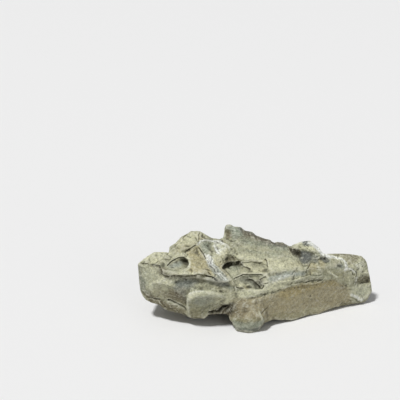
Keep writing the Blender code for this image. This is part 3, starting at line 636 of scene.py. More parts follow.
        ("curl", 0.6, [(255, 279), (264, 279), (264, 287), (258, 287)]),
        ("peak_side", 0.7, [(312, 254), (319, 255), (318.6, 263), (312, 263)]),
        ("lobe_dark", 0.4, 1.8, [(178, 288.4), (188, 289.4), (196, 288)]),
        ("left_end", 0.5,
            [(137, 264), (141, 266), (143, 276), (147, 288), (156, 296), (150, 300), (142, 294),
             (137, 284)]),
        ("vein", 0.6, 0.7, [(207, 265), (210.6, 269), (213.6, 271.6)]),
        ("vein", 0.75, 0.6,
            [(211, 264.4), (213.4, 265.8), (216.4, 268.4), (218, 271.6), (221.6, 273), (226, 278)]),
        ("vein_low", 0.7, 0.6, [(214, 271), (216.6, 274.4), (220, 276), (223, 279.6), (228, 282)]),
        ("tail", 0.6, 1.4, [(217, 285.6), (224, 284), (229, 286)]),
        ("knob", 0.5, [(222, 224), (230, 224), (232, 228), (226, 230)]),
        ("pocket_top", 0.3, [(160, 255), (169, 253), (176, 256), (170, 260), (162, 260)]),
        ("shoulder_low", 0.6, [(339, 263.4), (343, 264), (342.6, 268), (338, 267)]),
        ("peak_cap", 1.0, [(301.6, 239), (312, 239), (313.4, 245.2), (303, 246)]),
        ("band", 0.5, 1.4, [(268, 274.4), (279, 274), (287, 271.6)]),
        ("lobe_brown", 0.35, [(140, 292), (146, 293), (158, 299), (160, 303), (146, 299)]),
        ("foot_low", 0.7, 2.4, [(236, 329.6), (248, 332), (260, 328.6)]),
    ],
    # Brown stains, and painted shade: the wedge under the knuckle, the foot, the lower lobes, pocket sides,
    # the peak hollow and the end notch are darkened with it where shade falls
    "brown": [
        ("under_knuckle", 1.0, [(209, 314), (222, 307.4), (233, 304), (232.6, 310), (231, 317), (210, 317)]),
        ("lobe_foot", 0.3, [(150, 301), (162, 302.6), (186, 313), (186, 318), (160, 312)]),
        ("foot", 0.3,
            [(230, 303), (240, 299), (258, 298), (272, 302), (270, 323), (258, 333), (240, 333),
             (229, 318)]),
        ("face_top", 0.4, [(314, 279), (334, 279), (336, 284), (318, 284)]),
        ("peak_hollow", 0.6, [(288, 246), (294, 247), (298, 252), (292, 254), (288, 250)]),
        ("pocket_side", 0.75, [(161, 267), (166, 267), (168, 273), (163, 273)]),
        ("peak_mauve", 0.4,
            [(195.6, 236.4), (199, 233.6), (204, 235), (208, 239), (203, 240.6), (197.6, 242)]),
        ("wall_crest", 0.4,
            [(232, 234), (250, 236), (272, 243), (284, 246), (284, 249), (268, 248), (250, 244),
             (234, 241)]),
        ("band_left", 0.35, [(262, 272), (270, 273), (270, 278), (264, 279)]),
        ("foot_top", 0.55, [(228, 299), (236, 296.6), (246, 298), (252, 306), (244, 318), (230, 319)]),
        ("vein", 0.4, 0.8, [(210, 264.6), (213.6, 269), (219, 273.6)]),
        ("peak_hollow", 1.0, [(289, 247.6), (300, 250), (300, 256), (294, 255)]),
        ("eye_wall", 0.6,
            [(224, 263), (227, 256), (231, 254), (236, 257), (238, 261), (231, 262), (226, 265)]),
        ("end_notch", 0.55, [(355.4, 284), (358, 278.4), (362, 275.6), (372, 275), (372, 283.4)]),
        ("lobe_slate", 0.4, [(176, 286), (186, 286), (189, 291), (186, 299), (178, 296)]),
        ("tail", 0.3, [(206, 286), (222, 284), (232, 288), (226, 293), (210, 290)]),
        ("lobe_dark", 0.2, [(188, 278), (200, 279), (206, 284), (192, 288)]),
        ("curl", 0.4, [(254, 278), (264, 278), (266, 286), (256, 288)]),
        ("ridge", 0.25, [(238, 286), (250, 287), (250, 292), (238, 293)]),
        ("lobe_foot", 0.75,
            [(142, 292), (150, 294), (160, 299), (172, 305), (186, 314), (168, 310), (150, 303)]),
        ("lobe_foot", 0.5, [(168, 302), (186, 308), (186, 314), (172, 309)]),
        ("wall_crest", 0.3, [(264, 239), (288, 243), (292, 248), (284, 249), (266, 245)]),
        ("knob_foot", 0.3, [(222, 238), (234, 236), (246, 243), (240, 248), (226, 246)]),
        ("pocket_side", 0.5, 1.6, [(159, 265), (160.6, 270), (164, 274.4)]),
        ("peak_left", 0.2, [(168, 242), (178, 240), (178, 250), (168, 251)]),
        ("lobe_brown", 0.4,
            [(150, 288.6), (155, 284.8), (164, 285.8), (172, 288), (172, 299.8), (158, 298), (149, 293)]),
        ("lobe_slate", 0.65, [(168, 286.8), (177, 289.8), (185.6, 297), (186.4, 305.6), (168, 298.8)]),
        ("pocket_side", 0.5, 1.1,
            [(148, 265.6), (158, 267), (161, 272), (168, 277), (186, 277), (206, 277)]),
        ("knob", 0.75, [(225, 229.6), (230.6, 229.2), (232, 238.6), (225.6, 240)]),
        ("wall_crest", 0.6,
            [(240, 228), (256, 235), (270, 240), (286, 243), (288, 247), (268, 244), (244, 238)]),
        ("shoulder", 0.5,
            [(324, 252.4), (350, 253), (363, 256), (358, 261), (350, 267), (346.6, 262), (342, 258),
             (330, 255)]),
    ],
    # Painted shade: a near-black clay laid where crevices, cracks, deep pockets and the hollow under the
    # knuckle fall into shadow
    "crevice_shade": [
        ("eye_floor", 1.0, 1.4,
            [(223.4, 268.2), (224.2, 265.4), (227, 263.6), (231.5, 262.6), (235.7, 262.9), (239.4, 263.2),
             (242, 264.6)]),
        ("under_knuckle", 0.7,
            [(209, 313.6), (219, 308.6), (230, 305), (226, 308.6), (219, 312), (212, 314)]),
        ("under_knuckle", 1.0, 1.2, [(208.8, 313), (214, 311), (221, 308), (228, 305.6)]),
        ("peak_hollow", 0.9, [(288.6, 247.6), (296, 249), (301.6, 251.6), (300, 256.4), (293, 254.6)]),
        ("foot_left", 0.65, [(228, 303), (236, 301.6), (237, 308), (232, 315), (225, 313)]),
        ("left_pocket", 0.75,
            [(179, 257.4), (184, 257), (187.8, 260), (187.6, 265), (185.6, 264), (183, 260.6)]),
        ("ridge", 0.9, [(247.6, 286.8), (251.4, 286.6), (252, 288.2), (248.4, 288.6)]),
        ("end_notch", 0.3, 1.0, [(357, 283.4), (363, 282.8), (371.4, 282)]),
        ("left_shelf", 0.45, [(180, 277.4), (187, 278), (189.4, 281.4), (183, 280.4)]),
    ],
    "sand": [
        ("sandy_face", 1.0,
            [(262, 297), (285, 288.6), (312, 285), (334, 280), (350, 288), (351, 303), (335, 307),
             (319, 314), (300, 317), (280, 320), (268, 319), (262, 310)]),
        ("foot", 1.0,
            [(230, 306), (244, 299), (266, 296), (270, 318), (263, 325), (258, 333), (240, 334),
             (228, 318)]),
        ("knuckle_low", 0.5, [(188, 309), (207, 309), (205, 319), (190, 318)]),
        ("lobe_brown", 0.4, [(150, 289), (172, 292), (182, 299), (166, 298), (152, 294)]),
    ],
    "ochre": [
        ("sandy_face", 0.8,
            [(278, 291), (300, 283.6), (321, 281.6), (336, 280), (338, 285), (318, 288), (300, 294),
             (288, 300), (278, 297)]),
        ("foot_top", 0.5, [(234, 302), (246, 299), (256, 300), (248, 304), (236, 306)]),
        ("face_left", 0.3, [(270, 302), (290, 302), (296, 310), (280, 314)]),
    ],
    # Olive stains, and painted shade on the lower faces of the foot, knuckle, lobes and sandy face
    "olive_and_shade": [
        ("shoulder_low", 0.5, [(334, 262), (346, 264), (353, 268), (351, 275), (338, 271)]),
        ("knuckle_low", 0.5, [(186, 306), (206, 307), (222, 303), (214, 310), (206, 319), (190, 319)]),
        ("foot_low", 0.8, [(230, 314), (246, 319), (264, 316), (264, 336), (234, 336)]),
        ("lobe_foot", 0.6,
            [(140, 288), (148, 290), (166, 300), (186, 310), (186, 316), (160, 308), (142, 297)]),
        ("face_foot", 0.5, [(270, 311), (296, 311), (318, 308), (318, 315), (296, 320), (272, 320)]),
        ("slope", 0.5, [(322, 268), (344, 270), (350, 278), (350, 288), (336, 279), (322, 276)]),
        ("tail", 0.35, [(212, 284), (230, 286), (232, 292), (214, 290)]),
    ],
}

# Colour of each clay, some of which also paint highlights or shade, in the order that they are laid on
CLAY_COLOURS = {
    "sand": (0.375, 0.333, 0.208), "ochre": (0.430, 0.360, 0.180), "olive_and_shade": (0.300, 0.285, 0.165),
    "tan": (0.410, 0.372, 0.218), "cream_and_highlight": (0.605, 0.600, 0.414), "blue": (0.352, 0.388, 0.338),
    "plate": (0.260, 0.295, 0.232), "slate": (0.118, 0.128, 0.120), "brown": (0.135, 0.110, 0.062),
    "crevice_shade": (0.036, 0.033, 0.022), "white_and_highlight": (0.860, 0.880, 0.840),
}

# Clays whose patches end sharply, and clays that stay in thin threads
CRISP = ("brown", "slate", "crevice_shade", "white_and_highlight")
THREADED = ("white_and_highlight", "crevice_shade")

# How far the clays run on round the back, and the blots of each clay there; a thread is finer
RUN_ON = 25
THREAD_RUN_ON = 3
BLOTS = 5
BLOT_SIZES = (8, 22)
BLOT_HEIGHT = 0.5
BLOT_STRENGTHS = (0.4, 0.9)
THREAD_SHARE = 0.25

# How sharply the patches of clay end
SHARP_END = 2.6
SOFT_END = 5.0

# How finely and how much the edge of a clay breaks up
PLAIN_EDGE = (0.005, 0.9)
EDGES = {"white_and_highlight": (0.0022, 1.3), "crevice_shade": (0.003, 0.35), "slate": (0.004, 0.6), "brown": (0.004, 0.7)}

# The dry clay under the stains: its mottling and its beds
DRY_DARK = (0.310, 0.318, 0.219)
DRY_LIGHT = (0.424, 0.427, 0.297)
DRY_BEDS = (0.450, 0.415, 0.260)

# Grain of the clay: the way it is turned and stretched, its fineness, detail and roughness, and the
# levels between which it shows
GRAINS = {
    "Mottle": (BED_TILT, (1.0, 1.0, 1.0), 1.0, 4.0, 0.6, 0.32, 0.68),
    "Blotch": (BED_TILT, (1.0, 1.0, 1.0), 3.6, 3.0, 0.6, 0.34, 0.66),
    "Grain": (BED_TILT, (1.0, 1.0, 1.0), 7.5, 5.0, 0.75, 0.32, 0.68),
    "Speck": (BED_TILT, (1.0, 1.0, 1.0), 9.0, 2.0, 0.6, 0.60, 0.70),
    "Bed": (BED_TILT, (0.25, 0.25, 1.6), 2.0, 4.0, 0.6, 0.35, 0.65),
    "Streak": (BED_TILT, (0.35, 0.35, 1.8), 6.0, 3.0, 0.6, 0.52, 0.70),
    "Scratch": (SLANT, (0.22, 1.0, 1.7), 5.5, 3.0, 0.6, 0.55, 0.70),
}

# Mottling darkens the clay, and sand evens it out towards a tone of its own
TONE_START = 0.50
GRAIN_TONE = 0.62
BLOTCH_TONE = 0.34
SAND_TONE = 0.95
SAND_EVENS = 0.25

# Levels of the crisp and proud relief where edges are rubbed pale with a painted highlight and where
# dirt and painted shade lie, and of the broad relief where hollows get painted shade
RUBBED_AND_HIGHLIGHT_LEVELS = ((0.57, 0.85), (0.72, 1.0))
DIRT_AND_SHADE_LEVELS = ((0.42, 0.10), (0.36, 0.06))
SHADE_LEVELS = (0.45, 0.05)

# The finish of dry clay; a bump is a noise's scale, detail and roughness
CLAY_ROUGHNESS = 0.88
CLAY_SPECULAR = 0.3
FINE_BUMP = (900.0, 5.0, 0.65)
ROUGH_BUMP = (380.0, 3.0, 0.6)
ROUGH_SHARE = 1.8
BUMP_STRENGTH = 0.75
BUMP_DISTANCE = 0.0007

# Laid over the clays in this order: how much of each shows at most, and its colour. Darkening of faces that
# turn down and of broad hollows is painted shade; the dark in small hollows is dirt and painted shade,
# and the pale on proud edges is wear and a painted highlight
FINISHES = {
    "Streak": (0.28, (0.600, 0.590, 0.480)), "Scratch": (0.44, (0.640, 0.635, 0.520)),
    "Speck": (0.46, (0.680, 0.670, 0.560)), "Under": (0.75, (0.125, 0.108, 0.058)),
    "Shade": (0.35, (0.150, 0.145, 0.100)), "Dirt_And_Shade": (0.75, (0.070, 0.066, 0.044)),
    "Rubbed_And_Highlight": (0.62, (0.680, 0.670, 0.540)),
}

# Lights: where each comes from, how broad it is in degrees and how strong
LIGHTS = {"key": ((-0.34, -0.26, 0.90), 8, 2.57), "fill": ((0.6, -0.8, 0.45), 40, 0.22)}
SKY_GLOW = 0.25
SKY_SEEN = 1.0
FLOOR_SIZE = 4.0
FLOOR_PALE = (0.85, 0.85, 0.85, 1)


def unit(v):
    return v / np.maximum(np.linalg.norm(v, axis=-1, keepdims=True), 1e-9)


def ease(x):
    x = np.clip(x, 0, 1)
    return x * x * (3 - 2 * x)


class Sight:
    """A way of looking at the stone: a turn about its middle and a height above the floor."""

    def __init__(self, turn, height, aim):
        turn, height = math.radians(turn), math.radians(height)
        self.right = np.array([math.cos(turn), math.sin(turn), 0])
        self.forward = np.array([-math.sin(turn) * math.cos(height),
                                 math.cos(turn) * math.cos(height), -math.sin(height)])
        self.up = np.cross(self.right, self.forward)
        self.eye = aim - self.forward * VIEW_DISTANCE

    def ray(self, across, down):
        half = FRAME_SIZE / 2
        return (self.forward + (across - half) / PIXELS_PER_SLOPE * self.right
                + (half - down) / PIXELS_PER_SLOPE * self.up)

    def place(self, points):
        """Where points lie in the frame, and how far away they are."""
        away = points - self.eye
        depth = away @ self.forward
        across = FRAME_SIZE / 2 + PIXELS_PER_SLOPE * (away @ self.right) / depth
        down = FRAME_SIZE / 2 - PIXELS_PER_SLOPE * (away @ self.up) / depth
        return across, down, depth

    def seen(self, surface, slack=3.0):
        """Which points face this way with nothing in front of them."""
        across, down, depth = self.place(surface.points)
        column = np.clip(across.astype(int), 0, FRAME_SIZE - 1)
        row = np.clip(down.astype(int), 0, FRAME_SIZE - 1)
        cell = row * FRAME_SIZE + column
        facing = surface.normals @ self.forward < 0.1
        nearest = np.full(FRAME_SIZE * FRAME_SIZE, FAR)
        np.minimum.at(nearest, cell[facing], depth[facing])
        return facing & (depth < nearest[cell] + slack)


FRONT = Sight(0, 20, FRONT_AIM)
ROUND = [Sight(turn, height, MIDDLE) for turn, height in ((180, 15), (150, 45), (210, 30), (270, 10),
                                                         (90, 10), (0, 85))]


class Surface:
    """The stone's skin while it is worked: its points and normals."""

    def __init__(self, obj):
        self.obj = obj
        self.read()

    def read(self):
        mesh = self.obj.data
        self.points = np.empty(len(mesh.vertices) * 3)
        self.normals = np.empty(len(mesh.vertices) * 3)
        mesh.vertices.foreach_get("co", self.points)
        mesh.vertices.foreach_get("normal", self.normals)
        self.points = self.points.reshape(-1, 3) / MM
        self.normals = self.normals.reshape(-1, 3)

    def write(self):
        """Puts the points back and works out the normals anew."""
        self.obj.data.vertices.foreach_set("co", (self.points * MM).ravel())
        self.obj.data.update()
        bpy.context.view_layer.update()
        self.read()

    def lay(self, sight, corners, spacing=0.6, shortest=4):
        """Lets a line of frame points down on the stone: runs of close-set points and normals.

        A run ends where the line leaves the stone, turns away or jumps to something behind.
        """
        runs, places, normals = [], [], []
        for (a, b), (c, d) in zip(corners[:-1], corners[1:]):
            steps = max(2, int(math.hypot(c - a, d - b) / spacing))
            for k in range(steps):
                ray = unit(sight.ray(a + (c - a) * k / steps, b + (d - b) * k / steps))
                hit, place, normal, _ = self.obj.ray_cast(Vector(sight.eye * MM), Vector(ray))
                good = hit and np.array(normal) @ ray < GRAZING
                place = np.array(place) / MM
                if places and (not good or np.linalg.norm(place - places[-1]) > 4 * spacing):
                    runs.append((np.array(places), np.array(normals)))
                    places, normals = [], []
                if good:
                    places.append(place)
                    normals.append(normal)
        runs.append((np.array(places), np.array(normals)))
        return [run for run in runs if len(run[0]) >= shortest]

    def near(self, line, reach):
        """The points within reach of a line: their indices, offsets from it and nearest step."""
        low, high = line.min(0) - reach, line.max(0) + reach
        index = np.nonzero(np.all((self.points > low) & (self.points < high), axis=1))[0]
        offsets = self.points[index][:, None, :] - line[None, :, :]
        distance = np.linalg.norm(offsets, axis=2)
        step = distance.argmin(1)
        rows = np.arange(len(index))
        keep = distance[rows, step] < reach
        return index[keep], offsets[rows, step][keep], step[keep]


class Web:
    """The mesh's own edges, for evening out values that belong to its points."""

    def __init__(self, mesh):
        ends = np.empty(len(mesh.edges) * 2, int)
        mesh.edges.foreach_get("vertices", ends)
        self.a, self.b = ends[0::2], ends[1::2]
        self.count = len(mesh.vertices)
        ones = np.ones(len(self.a))
        self.share = 1 / np.maximum(self.total(ones, ones), 1)

    def total(self, to_a, to_b):
        return np.bincount(self.a, to_a, self.count) + np.bincount(self.b, to_b, self.count)

    def even(self, value, times):
        if value.ndim == 2:
            return np.stack([self.even(value[:, i], times) for i in range(value.shape[1])], 1)
        for _ in range(times):
            value = self.total(value[self.b], value[self.a]) * self.share
        return value

    def spread(self, value, fixed, times):
        """Lets values run from the fixed points into the rest."""
        weight = fixed.astype(float)
        value = value * weight
        for _ in range(times):
            value = np.where(fixed, value, self.even(value, 1))
            weight = np.where(fixed, 1.0, self.even(weight, 1))
        return value / np.maximum(weight, 0.25)


def line_frame(line, normals, window=9):
    """Along, out of and to the left of a line laid on the stone."""
    kernel = np.ones(window) / window
    pad = ((window // 2, window // 2), (0, 0))

    def even(rows):
        padded = np.pad(rows, pad, mode="edge")
        return unit(np.stack([np.convolve(padded[:, i], kernel, "valid") for i in range(3)], 1))

    out = even(normals)
    along = even(np.gradient(line, axis=0))
    return along, out, unit(np.cross(out, along))


def taper(step, count, share=0.15):
    t = step / max(count - 1, 1)
    return ease(t / share) * ease((1 - t) / share)


def wander(rng, count, size=0.35, knot=7):
    """A slow random change along a line, about one."""
    knots = rng.uniform(1 - size, 1 + size, max(3, count // knot + 2))
    return np.interp(np.linspace(0, len(knots) - 1, count), np.arange(len(knots)), knots)


def beside(surface, rng, line, normals, half_width, reach, unevenness):
    """The points by a line: index, nearest step, share of the half width, and out and left there."""
    _, out, left = line_frame(line, normals)
    index, offset, step = surface.near(line, half_width * reach)
    width = half_width * wander(rng, len(line), unevenness)[step]
    offset = offset - (offset * out[step]).sum(1, keepdims=True) * out[step]
    return index, step, np.linalg.norm(offset, axis=1) / width, out[step], left[step]


def crack(surface, rng, sight, corners, half_width, depth):
    """A narrow cut, deepest on its line, whose width and depth wander."""
    for line, normals in surface.lay(sight, corners):
        index, step, share, out, left = beside(surface, rng, line, normals, half_width, 1.5, 0.25)
        strength = np.clip(1 - share, 0, 1) ** 1.2 * taper(step, len(line), 0.12)
        strength *= wander(rng, len(line))[step]
        surface.points[index] -= unit(out - CRACK_LEAN * left) * (depth * strength)[:, None]


def ledge(surface, rng, sight, corners, stand, drop, widths):
    """One side of a line stands proud and the other drops back, with a broken edge between."""
    proud, low = widths
    for line, normals in surface.lay(sight, corners):
        _, out, left = line_frame(line, normals)
        index, offset, step = surface.near(line, max(proud, low))
        side = (offset * left[step]).sum(1)
        strength = taper(step, len(line)) * wander(rng, len(line), 0.3)[step]
        above = np.where(side >= 0, np.clip(1 - side / proud, 0, 1) ** 1.5, 0)
        below = np.where(side < 0, np.clip(1 + side / low, 0, 1) ** 1.3, 0)
        lift = stand * above * strength
        sink = drop * below * strength
        surface.points[index] += out[step] * (lift - sink)[:, None]
        if drop > 0 and stand > 0:
            surface.points[index] -= left[step] * (0.5 * lift * (above > 0.5))[:, None]


def scoop(surface, sight, corners, half_widths, depths, lean):
    """A rounded trough with crisp edges, whose deep part may run in under one side."""
    for line, normals in surface.lay(sight, corners, shortest=2):
        share = np.linspace(0, 1, len(line))
        radius = half_widths[0] + (half_widths[1] - half_widths[0]) * share
        depth = depths[0] + (depths[1] - depths[0]) * share
        out = unit(normals.mean(0))
        index, _, _ = surface.near(line, max(half_widths) * 1.6)
        offsets = surface.points[index][:, None, :] - line[None, :, :]
        offsets = offsets - (offsets @ out)[..., None] * out
        reach = np.linalg.norm(offsets, axis=2) / radius
        level = np.where(reach < 1, depth * np.sqrt(np.clip(1 - reach * reach, 0, 1)), 0).max(1)
        way = unit(-out + lean[0] * sight.right + lean[1] * sight.up)
        surface.points[index] += level[:, None] * way


def vein(surface, rng, sight, corners, half_width, height):
    """A thin raised line of harder stone."""
    for line, normals in surface.lay(sight, corners):
        index, step, share, out, _ = beside(surface, rng, line, normals, half_width, 1.4, 0.3)
        strength = ease(1 - share) * taper(step, len(line)) * wander(rng, len(line))[step]
        surface.points[index] += out * (height * strength)[:, None]


def gap_to(corners, across, down):
    """How far points of the frame are from a line."""
    gap = np.full(len(across), FAR)
    for (a, b), (c, d) in zip(corners[:-1], corners[1:]):
        length = max((c - a) ** 2 + (d - b) ** 2, 1e-9)
        t = np.clip(((across - a) * (c - a) + (down - b) * (d - b)) / length, 0, 1)
        gap = np.minimum(gap, np.hypot(across - a - t * (c - a), down - b - t * (d - b)))
    return gap


def within(corners, across, down, soft):
    """How far inside a patch of the frame points are: 0 outside, half at its edge and 1 inside."""
    closed = corners + corners[:1]
    inside = np.zeros(len(across), bool)
    for (a, b), (c, d) in zip(closed[:-1], closed[1:]):
        crossing = (b > down) != (d > down)
        with np.errstate(divide="ignore", invalid="ignore"):
            inside ^= crossing & (across < (c - a) * (down - b) / (d - b) + a)
    gap = gap_to(closed, across, down)
    return np.where(inside, np.clip(0.5 + gap / soft, 0, 1), np.clip(0.5 - gap / soft, 0, 1))


def along_stroke(corners, across, down, half_width):
    """How strong a stroke is at points of the frame: 1 on its line and 0 well beside it."""
    return np.clip(1.5 - gap_to(corners, across, down) / half_width, 0, 1)


def split(surface, sight, seen, corners, flatness, soft=2.4):
    """Flattens a patch of the surface onto the plane that fits it best."""
    across, down, _ = sight.place(surface.points)
    weight = within(corners, across, down, soft) * seen
    index = np.nonzero(weight > 0)[0]
    if len(index) < FEWEST_POINTS:
        return
    patch, w = surface.points[index], weight[index]
    middle = (patch * w[:, None]).sum(0) / w.sum()
    _, axes = np.linalg.eigh(((patch - middle) * w[:, None]).T @ (patch - middle))
    out = axes[:, 0]
    height = (patch - middle) @ out
    surface.points[index] -= (height * w * flatness)[:, None] * out


def inside_front(surface, sight, rim, soft):
    """How far inside a rim each point is, leaving out what lies well behind the surface there."""
    across, down, depth = sight.place(surface.points)
    weight = within(rim, across, down, soft)
    seen = sight.seen(surface)
    ring = (within(rim, across, down, RING_WIDTH) > 0.05) & (weight <= 0) & seen
    free = (weight > 0) & (np.abs(depth - np.median(depth[ring])) < POCKET_REACH)
    web = Web(surface.obj.data)
    both = free[web.a] & free[web.b]
    a, b = web.a[both], web.b[both]
    found = free & seen
    for _ in range(40):
        found[b] |= found[a]
        found[a] |= found[b]
    return weight * found, across, down, ring


def heal(surface, sight, rim, rounds=260):
    """Closes a pocket with an even skin stretched across its rim."""
    weight, _, _, _ = inside_front(surface, sight, rim, 1.0)
    inside = weight > 0
    web = Web(surface.obj.data)
    keep = inside[web.a] | inside[web.b]
    nodes, local = np.unique(np.concatenate([web.a[keep], web.b[keep]]), return_inverse=True)
    a, b = local[:keep.sum()], local[keep.sum():]
    free = inside[nodes]
    patch = surface.points[nodes]
    degree = np.bincount(local, minlength=len(nodes))[:, None]
    for _ in range(rounds):
        total = np.stack([np.bincount(a, patch[b, i], len(nodes))
                          + np.bincount(b, patch[a, i], len(nodes)) for i in range(3)], 1)
        patch = np.where(free[:, None], total / degree, patch)
    surface.points[nodes] = patch


def press(surface, sight, rim, soft, lean, floor):
    """Sinks a pocket into the skin; its deep part may run in under one side."""
    weight, across, down, ring = inside_front(surface, sight, rim, soft)
    out = unit(surface.normals[ring].mean(0))
    index = np.nonzero(weight > 0)[0]
    gaps = np.stack([np.hypot(across[index] - x, down[index] - y) for x, y, _ in floor], 1)
    near = 1 / (gaps + 2.2) ** 4
    depth = (near * np.array([z for _, _, z in floor])).sum(1) / near.sum(1)
    way = -out + lean[0] * sight.right + lean[1] * sight.up
    surface.points[index] += (depth * ease(weight[index]))[:, None] * way


def edge_rows(corners, columns):
    """The highest and lowest point of an outline in each column of the frame."""
    top, bottom = np.full(len(columns), np.inf), np.full(len(columns), -np.inf)
    for (a, b), (c, d) in zip(corners, corners[1:] + corners[:1]):
        if abs(c - a) < 1e-6:
            continue
        t = (columns - a) / (c - a)
        on = (t >= 0) & (t <= 1)
        row = b + t * (d - b)
        top = np.where(on, np.minimum(top, row), top)
        bottom = np.where(on, np.maximum(bottom, row), bottom)
    return top, bottom


def fit_outline(surface, sight, corners, reach=9.0, most=3.5, rows=None):
    """Draws the skin near its outline up or down until the outline is the one that is wanted.

    With a range of rows it draws the two ends sideways there instead.
    """
    across, down, depth = sight.place(surface.points)
    way = -sight.up
    columns = np.arange(math.floor(across.min()) + 2, math.ceil(across.max()) - 1) + 0.5
    if rows:
        across, down, way = down, across, sight.right
        corners = [(b, a) for a, b in corners]
        columns = np.arange(*rows) + 0.5
    want_top, want_bottom = edge_rows(corners, columns)
    cell = np.floor(across - columns[0] + 0.5).astype(int)
    inside = (cell >= 0) & (cell < len(columns))
    top, bottom = np.full(len(columns), np.inf), np.full(len(columns), -np.inf)
    np.minimum.at(top, cell[inside], down[inside])
    np.maximum.at(bottom, cell[inside], down[inside])
    known = np.isfinite(want_top) & np.isfinite(top)
    rise = np.clip(np.where(known, want_top - top, 0), -most, most)
    fall = np.clip(np.where(known, want_bottom - bottom, 0), -most, most)
    thin = np.minimum(reach, (bottom - top) * 0.45)
    rise, fall, top, bottom, thin = (np.interp(across, columns, np.nan_to_num(row, posinf=0, neginf=0))
                                     for row in (rise, fall, top, bottom, thin))
    shift = rise * ease(1 - (down - top) / thin) + fall * ease(1 - (bottom - down) / thin)
    if rows:
        shift *= ease((across - rows[0]) / 4) * ease((rows[1] - across) / 4)
    surface.points += (shift * depth / PIXELS_PER_SLOPE)[:, None] * way


def hold_back(surface):
    """Draws slivers, whose two sides lie close together, back into the skin around them."""
    web = Web(surface.obj.data)
    level = web.even(surface.points, times=24)
    rise = ((surface.points - level) * surface.normals).sum(1)
    agreed = np.linalg.norm(web.even(surface.normals, times=8), axis=1)
    sliver = web.even(ease((0.55 - agreed) / 0.2) * (rise > 0.3), times=2)
    gap = np.linalg.norm(surface.points - level, axis=1)
    most = np.where(FRONT.seen(surface, SHAPED_DEPTH), FRONT_STAND, OTHER_STAND)
    share = np.minimum(1, most / np.maximum(gap, 1e-6)) * (1 - np.clip(1.3 * sliver, 0, 1))
    surface.points = level + (surface.points - level) * share[:, None]


def draw_in_fins(surface):
    """Draws thin fins that stand away from the front back into the skin."""
    gap = np.full(len(surface.points), 9.0)
    for i, (point, normal) in enumerate(zip(surface.points, surface.normals)):
        inward = Vector(-normal)
        start = Vector(point * MM) + inward * 0.1 * MM
        hit, place, _, _ = surface.obj.ray_cast(start, inward, distance=4.5 * MM)
        if hit:
            gap[i] = (place - start).length / MM
    web = Web(surface.obj.data)
    away = 1 - web.even(FRONT.seen(surface, SHAPED_DEPTH).astype(float), times=2)
    thin = ease((FIN_STARTS - gap) / (FIN_STARTS - FIN_ENDS))
    fin = np.clip(2.0 * web.even(thin * away, times=3), 0, 1)
    surface.points += (web.even(surface.points, times=40) - surface.points) * fin[:, None]


def rub_down(surface, place, reach, rounds):
    """Rubs down what stands out of the skin around a place."""
    gap = np.linalg.norm(surface.points - place, axis=1)
    share = ease(1.5 * (1 - gap / reach))
    level = Web(surface.obj.data).even(surface.points, rounds)
    surface.points += (level - surface.points) * share[:, None]


def bed_lines(surface, rng, sight, count):
    """Random broken beds and cracks on a side of the stone, for the skin that the front hides."""
    across, down, _ = sight.place(surface.points)
    low = np.array([across.min(), down.min()])
    high = np.array([across.max(), down.max()])
    for number in range(count):
        length = rng.uniform(*BED_LENGTHS) * (high[0] - low[0])
        start = low + rng.uniform(-0.1, 0.9, 2) * (high - low)
        slope = rng.normal(*BED_SLOPES)
        steps = np.arange(BED_STEPS + 1)
        waver = np.cumsum(rng.normal(0, BED_WAVER, len(steps)))
        rows = start[1] + steps / BED_STEPS * length * slope + waver
        corners = list(zip(start[0] + steps / BED_STEPS * length, rows))
        if number % 3:
            stand = rng.uniform(*BED_STANDS)
            drop = rng.uniform(*BED_DROPS)
            ledge(surface, rng, sight, corners, stand, drop, BED_WIDTHS)
        if number % 3 != 1:
            crack(surface, rng, sight, corners, BED_CRACK_WIDTH, rng.uniform(*BED_CRACK_DEPTHS))


def calmness(surface):
    """How smooth the skin is at each point, from 0 to 1."""
    across, down, _ = FRONT.place(surface.points)
    calm = np.zeros(len(across))
    for amount, corners in CALM.values():
        calm = np.maximum(calm, within(corners, across, down, 4.0) * amount)
    return Web(surface.obj.data).spread(calm, FRONT.seen(surface), times=20)


def chip(surface, rng, count, reach, share, flatness):
    """Knocks flat chips off whatever stands proud, fewer of them where the skin is smooth."""
    tree = KDTree(len(surface.points))
    for i, point in enumerate(surface.points):
        tree.insert(point, i)
    tree.balance()
    calm = calmness(surface)
    for seed in rng.choice(len(surface.points), count, replace=False):
        radius = rng.uniform(*reach)
        if rng.random() < 1.3 * calm[seed]:
            continue
        found = tree.find_range(surface.points[seed], radius)
        index = np.array([entry[1] for entry in found])
        distance = np.array([entry[2] for entry in found])
        same = surface.normals[index] @ surface.normals[seed] > 0.1
        index, distance = index[same], distance[same]
        if len(index) < FEWEST_POINTS:
            continue
        out = unit(surface.normals[index].mean(0) + rng.normal(0, 0.16, 3))
        height = surface.points[index] @ out
        over = np.clip(height - np.quantile(height, share), 0, None)
        fade = ease((1 - distance / radius) * 2.5)
        surface.points[index] -= (over * fade * flatness)[:, None] * out


# ---- shape helpers

def fresh_copy(node, name):
    mesh = node.data.copy()
    obj = bpy.data.objects.new(name, mesh)
    bpy.context.scene.collection.objects.link(obj)
    bm = bmesh.new()
    bm.from_mesh(mesh)
    bmesh.ops.remove_doubles(bm, verts=bm.verts, dist=1e-6)
    bm.to_mesh(mesh)
    bm.free()
    return obj


def bake(obj):
    shaped = obj.evaluated_get(bpy.context.evaluated_depsgraph_get())
    mesh = bpy.data.meshes.new_from_object(shaped)
    obj.modifiers.clear()
    obj.data = mesh
    bpy.context.view_layer.update()


def remesh(obj, grain, rounding=0):
    modifier = obj.modifiers.new("grow", "REMESH")
    modifier.mode = "VOXEL"
    modifier.voxel_size = grain * MM
    if rounding:
        modifier = obj.modifiers.new("round", "SMOOTH")
        modifier.factor = 0.5
        modifier.iterations = rounding
    bake(obj)


